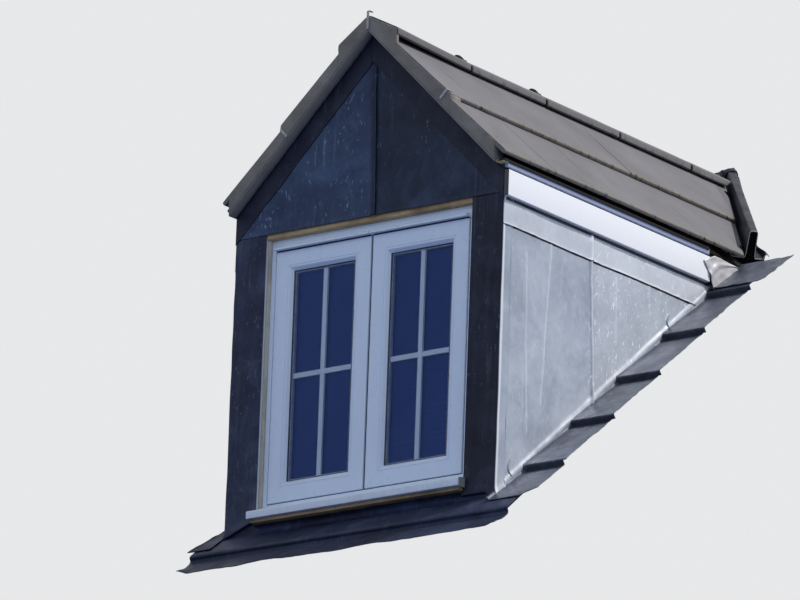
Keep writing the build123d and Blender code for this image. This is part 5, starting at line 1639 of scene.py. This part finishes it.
keeps = ((studTimber, ["front_frame"]), (barPlastic, ["window_bars"]),
         (frameTimber, ["cheek_frame_left", "cheek_frame_right", "roof_frame_left", "roof_frame_right", "ridge_board",
                        "window_board"]),
         (plywood, ["front_sheathing", "cheek_sheathing_left", "cheek_sheathing_right"]),
         (plaster, ["lining_left", "lining_right", "front_lining"]))
for finish, nodes in keeps:
    for node in nodes:
        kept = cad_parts[node]
        kept.data.materials.clear()
        kept.data.materials.append(finish)
print("CAD pieces finished")


def placed(right, up, back, at):
    # matrix from three axes and a place
    turn = np.eye(4)
    turn[:3, 0], turn[:3, 1], turn[:3, 2], turn[:3, 3] = right, up, back, at
    return Matrix(turn.tolist())


view = {"at": (17.60302, -22.95568, -7.66359), "right": (0.80080888, 0.59793004, 0.03442102),
        "up": (0.14230922, -0.24579135, 0.95881943), "lens": 391.5}
lensData = bpy.data.cameras.new("photoCamera")
lensData.lens, lensData.sensor_width, lensData.clip_end = view["lens"], 36.0, 200.0
camera = bpy.data.objects.new("photoCamera", lensData)
camera.matrix_world = placed(view["right"], view["up"], np.cross(view["right"], view["up"]), view["at"])
scene.collection.objects.link(camera)
scene.camera = camera

world = bpy.data.worlds.new("studio")
scene.world = world
world.use_nodes = True
sky = world.node_tree
sky.nodes.clear()


def background(colour, strength):
    # even light of one colour
    made = sky.nodes.new("ShaderNodeBackground")
    made.inputs["Color"].default_value = (*colour, 1.0)
    made.inputs["Strength"].default_value = strength
    return made.outputs[0]


# the sky lights the object; the camera, mirrors and glass see a plain pale backdrop
choose = sky.nodes.new("ShaderNodeMixShader")
sky.links.new(background((0.72, 0.83, 1.0), 0.60), choose.inputs[1])
sky.links.new(background((0.80, 0.81, 0.82), 1.0), choose.inputs[2])
rays = sky.nodes.new("ShaderNodeLightPath")
seen = rays.outputs["Is Camera Ray"]
for kind in ("Is Glossy Ray", "Is Transmission Ray"):
    either = sky.nodes.new("ShaderNodeMath")
    either.operation = "MAXIMUM"
    sky.links.new(seen, either.inputs[0])
    sky.links.new(rays.outputs[kind], either.inputs[1])
    seen = either.outputs[0]
sky.links.new(seen, choose.inputs[0])
sky.links.new(choose.outputs[0], sky.nodes.new("ShaderNodeOutputWorld").inputs[0])

sunData = bpy.data.lights.new("softKey", "SUN")
sunData.energy, sunData.angle, sunData.color = 2.65, math.radians(3), (1.0, 0.975, 0.94)
sun = bpy.data.objects.new("softKey", sunData)
toSun = unit([0.60, 0.25, 0.76])
sunRight = unit(np.cross([0, 0, 1], toSun))
sun.matrix_world = placed(sunRight, np.cross(toSun, sunRight), toSun, toSun * 10)
scene.collection.objects.link(sun)


def makeFloor():
    # pale floor under the object, bluer in the light that it throws back; it shows no underside, so a low camera
    # looks through it
    wide, low = 9, cadLow[2] - 0.002
    mesh = bpy.data.meshes.new("floor")
    mesh.from_pydata([(x * wide, y * wide, low) for x, y in ((-1, -1), (1, -1), (1, 1), (-1, 1))], [], [(0, 1, 2, 3)])
    f = Finish("floorPaint")
    seen = f.node("ShaderNodeLightPath").outputs["Is Camera Ray"]
    mesh.materials.append(f.set(colour=f.mix(seen, [0.09, 0.13, 0.26, 1], [0.62, 0.62, 0.62, 1]), rough=0.9))
    pick = f.node("ShaderNodeMixShader")
    f.feed(pick.inputs[0], f.node("ShaderNodeNewGeometry").outputs["Backfacing"])
    f.feed(pick.inputs[1], f.shader.outputs[0])
    f.feed(pick.inputs[2], f.node("ShaderNodeBsdfTransparent").outputs[0])
    f.feed(f.tree.nodes["Material Output"].inputs[0], pick.outputs[0])
    floor = bpy.data.objects.new("floor", mesh)
    scene.collection.objects.link(floor)
    return floor


makeFloor()
scene.view_settings.view_transform = "Standard"
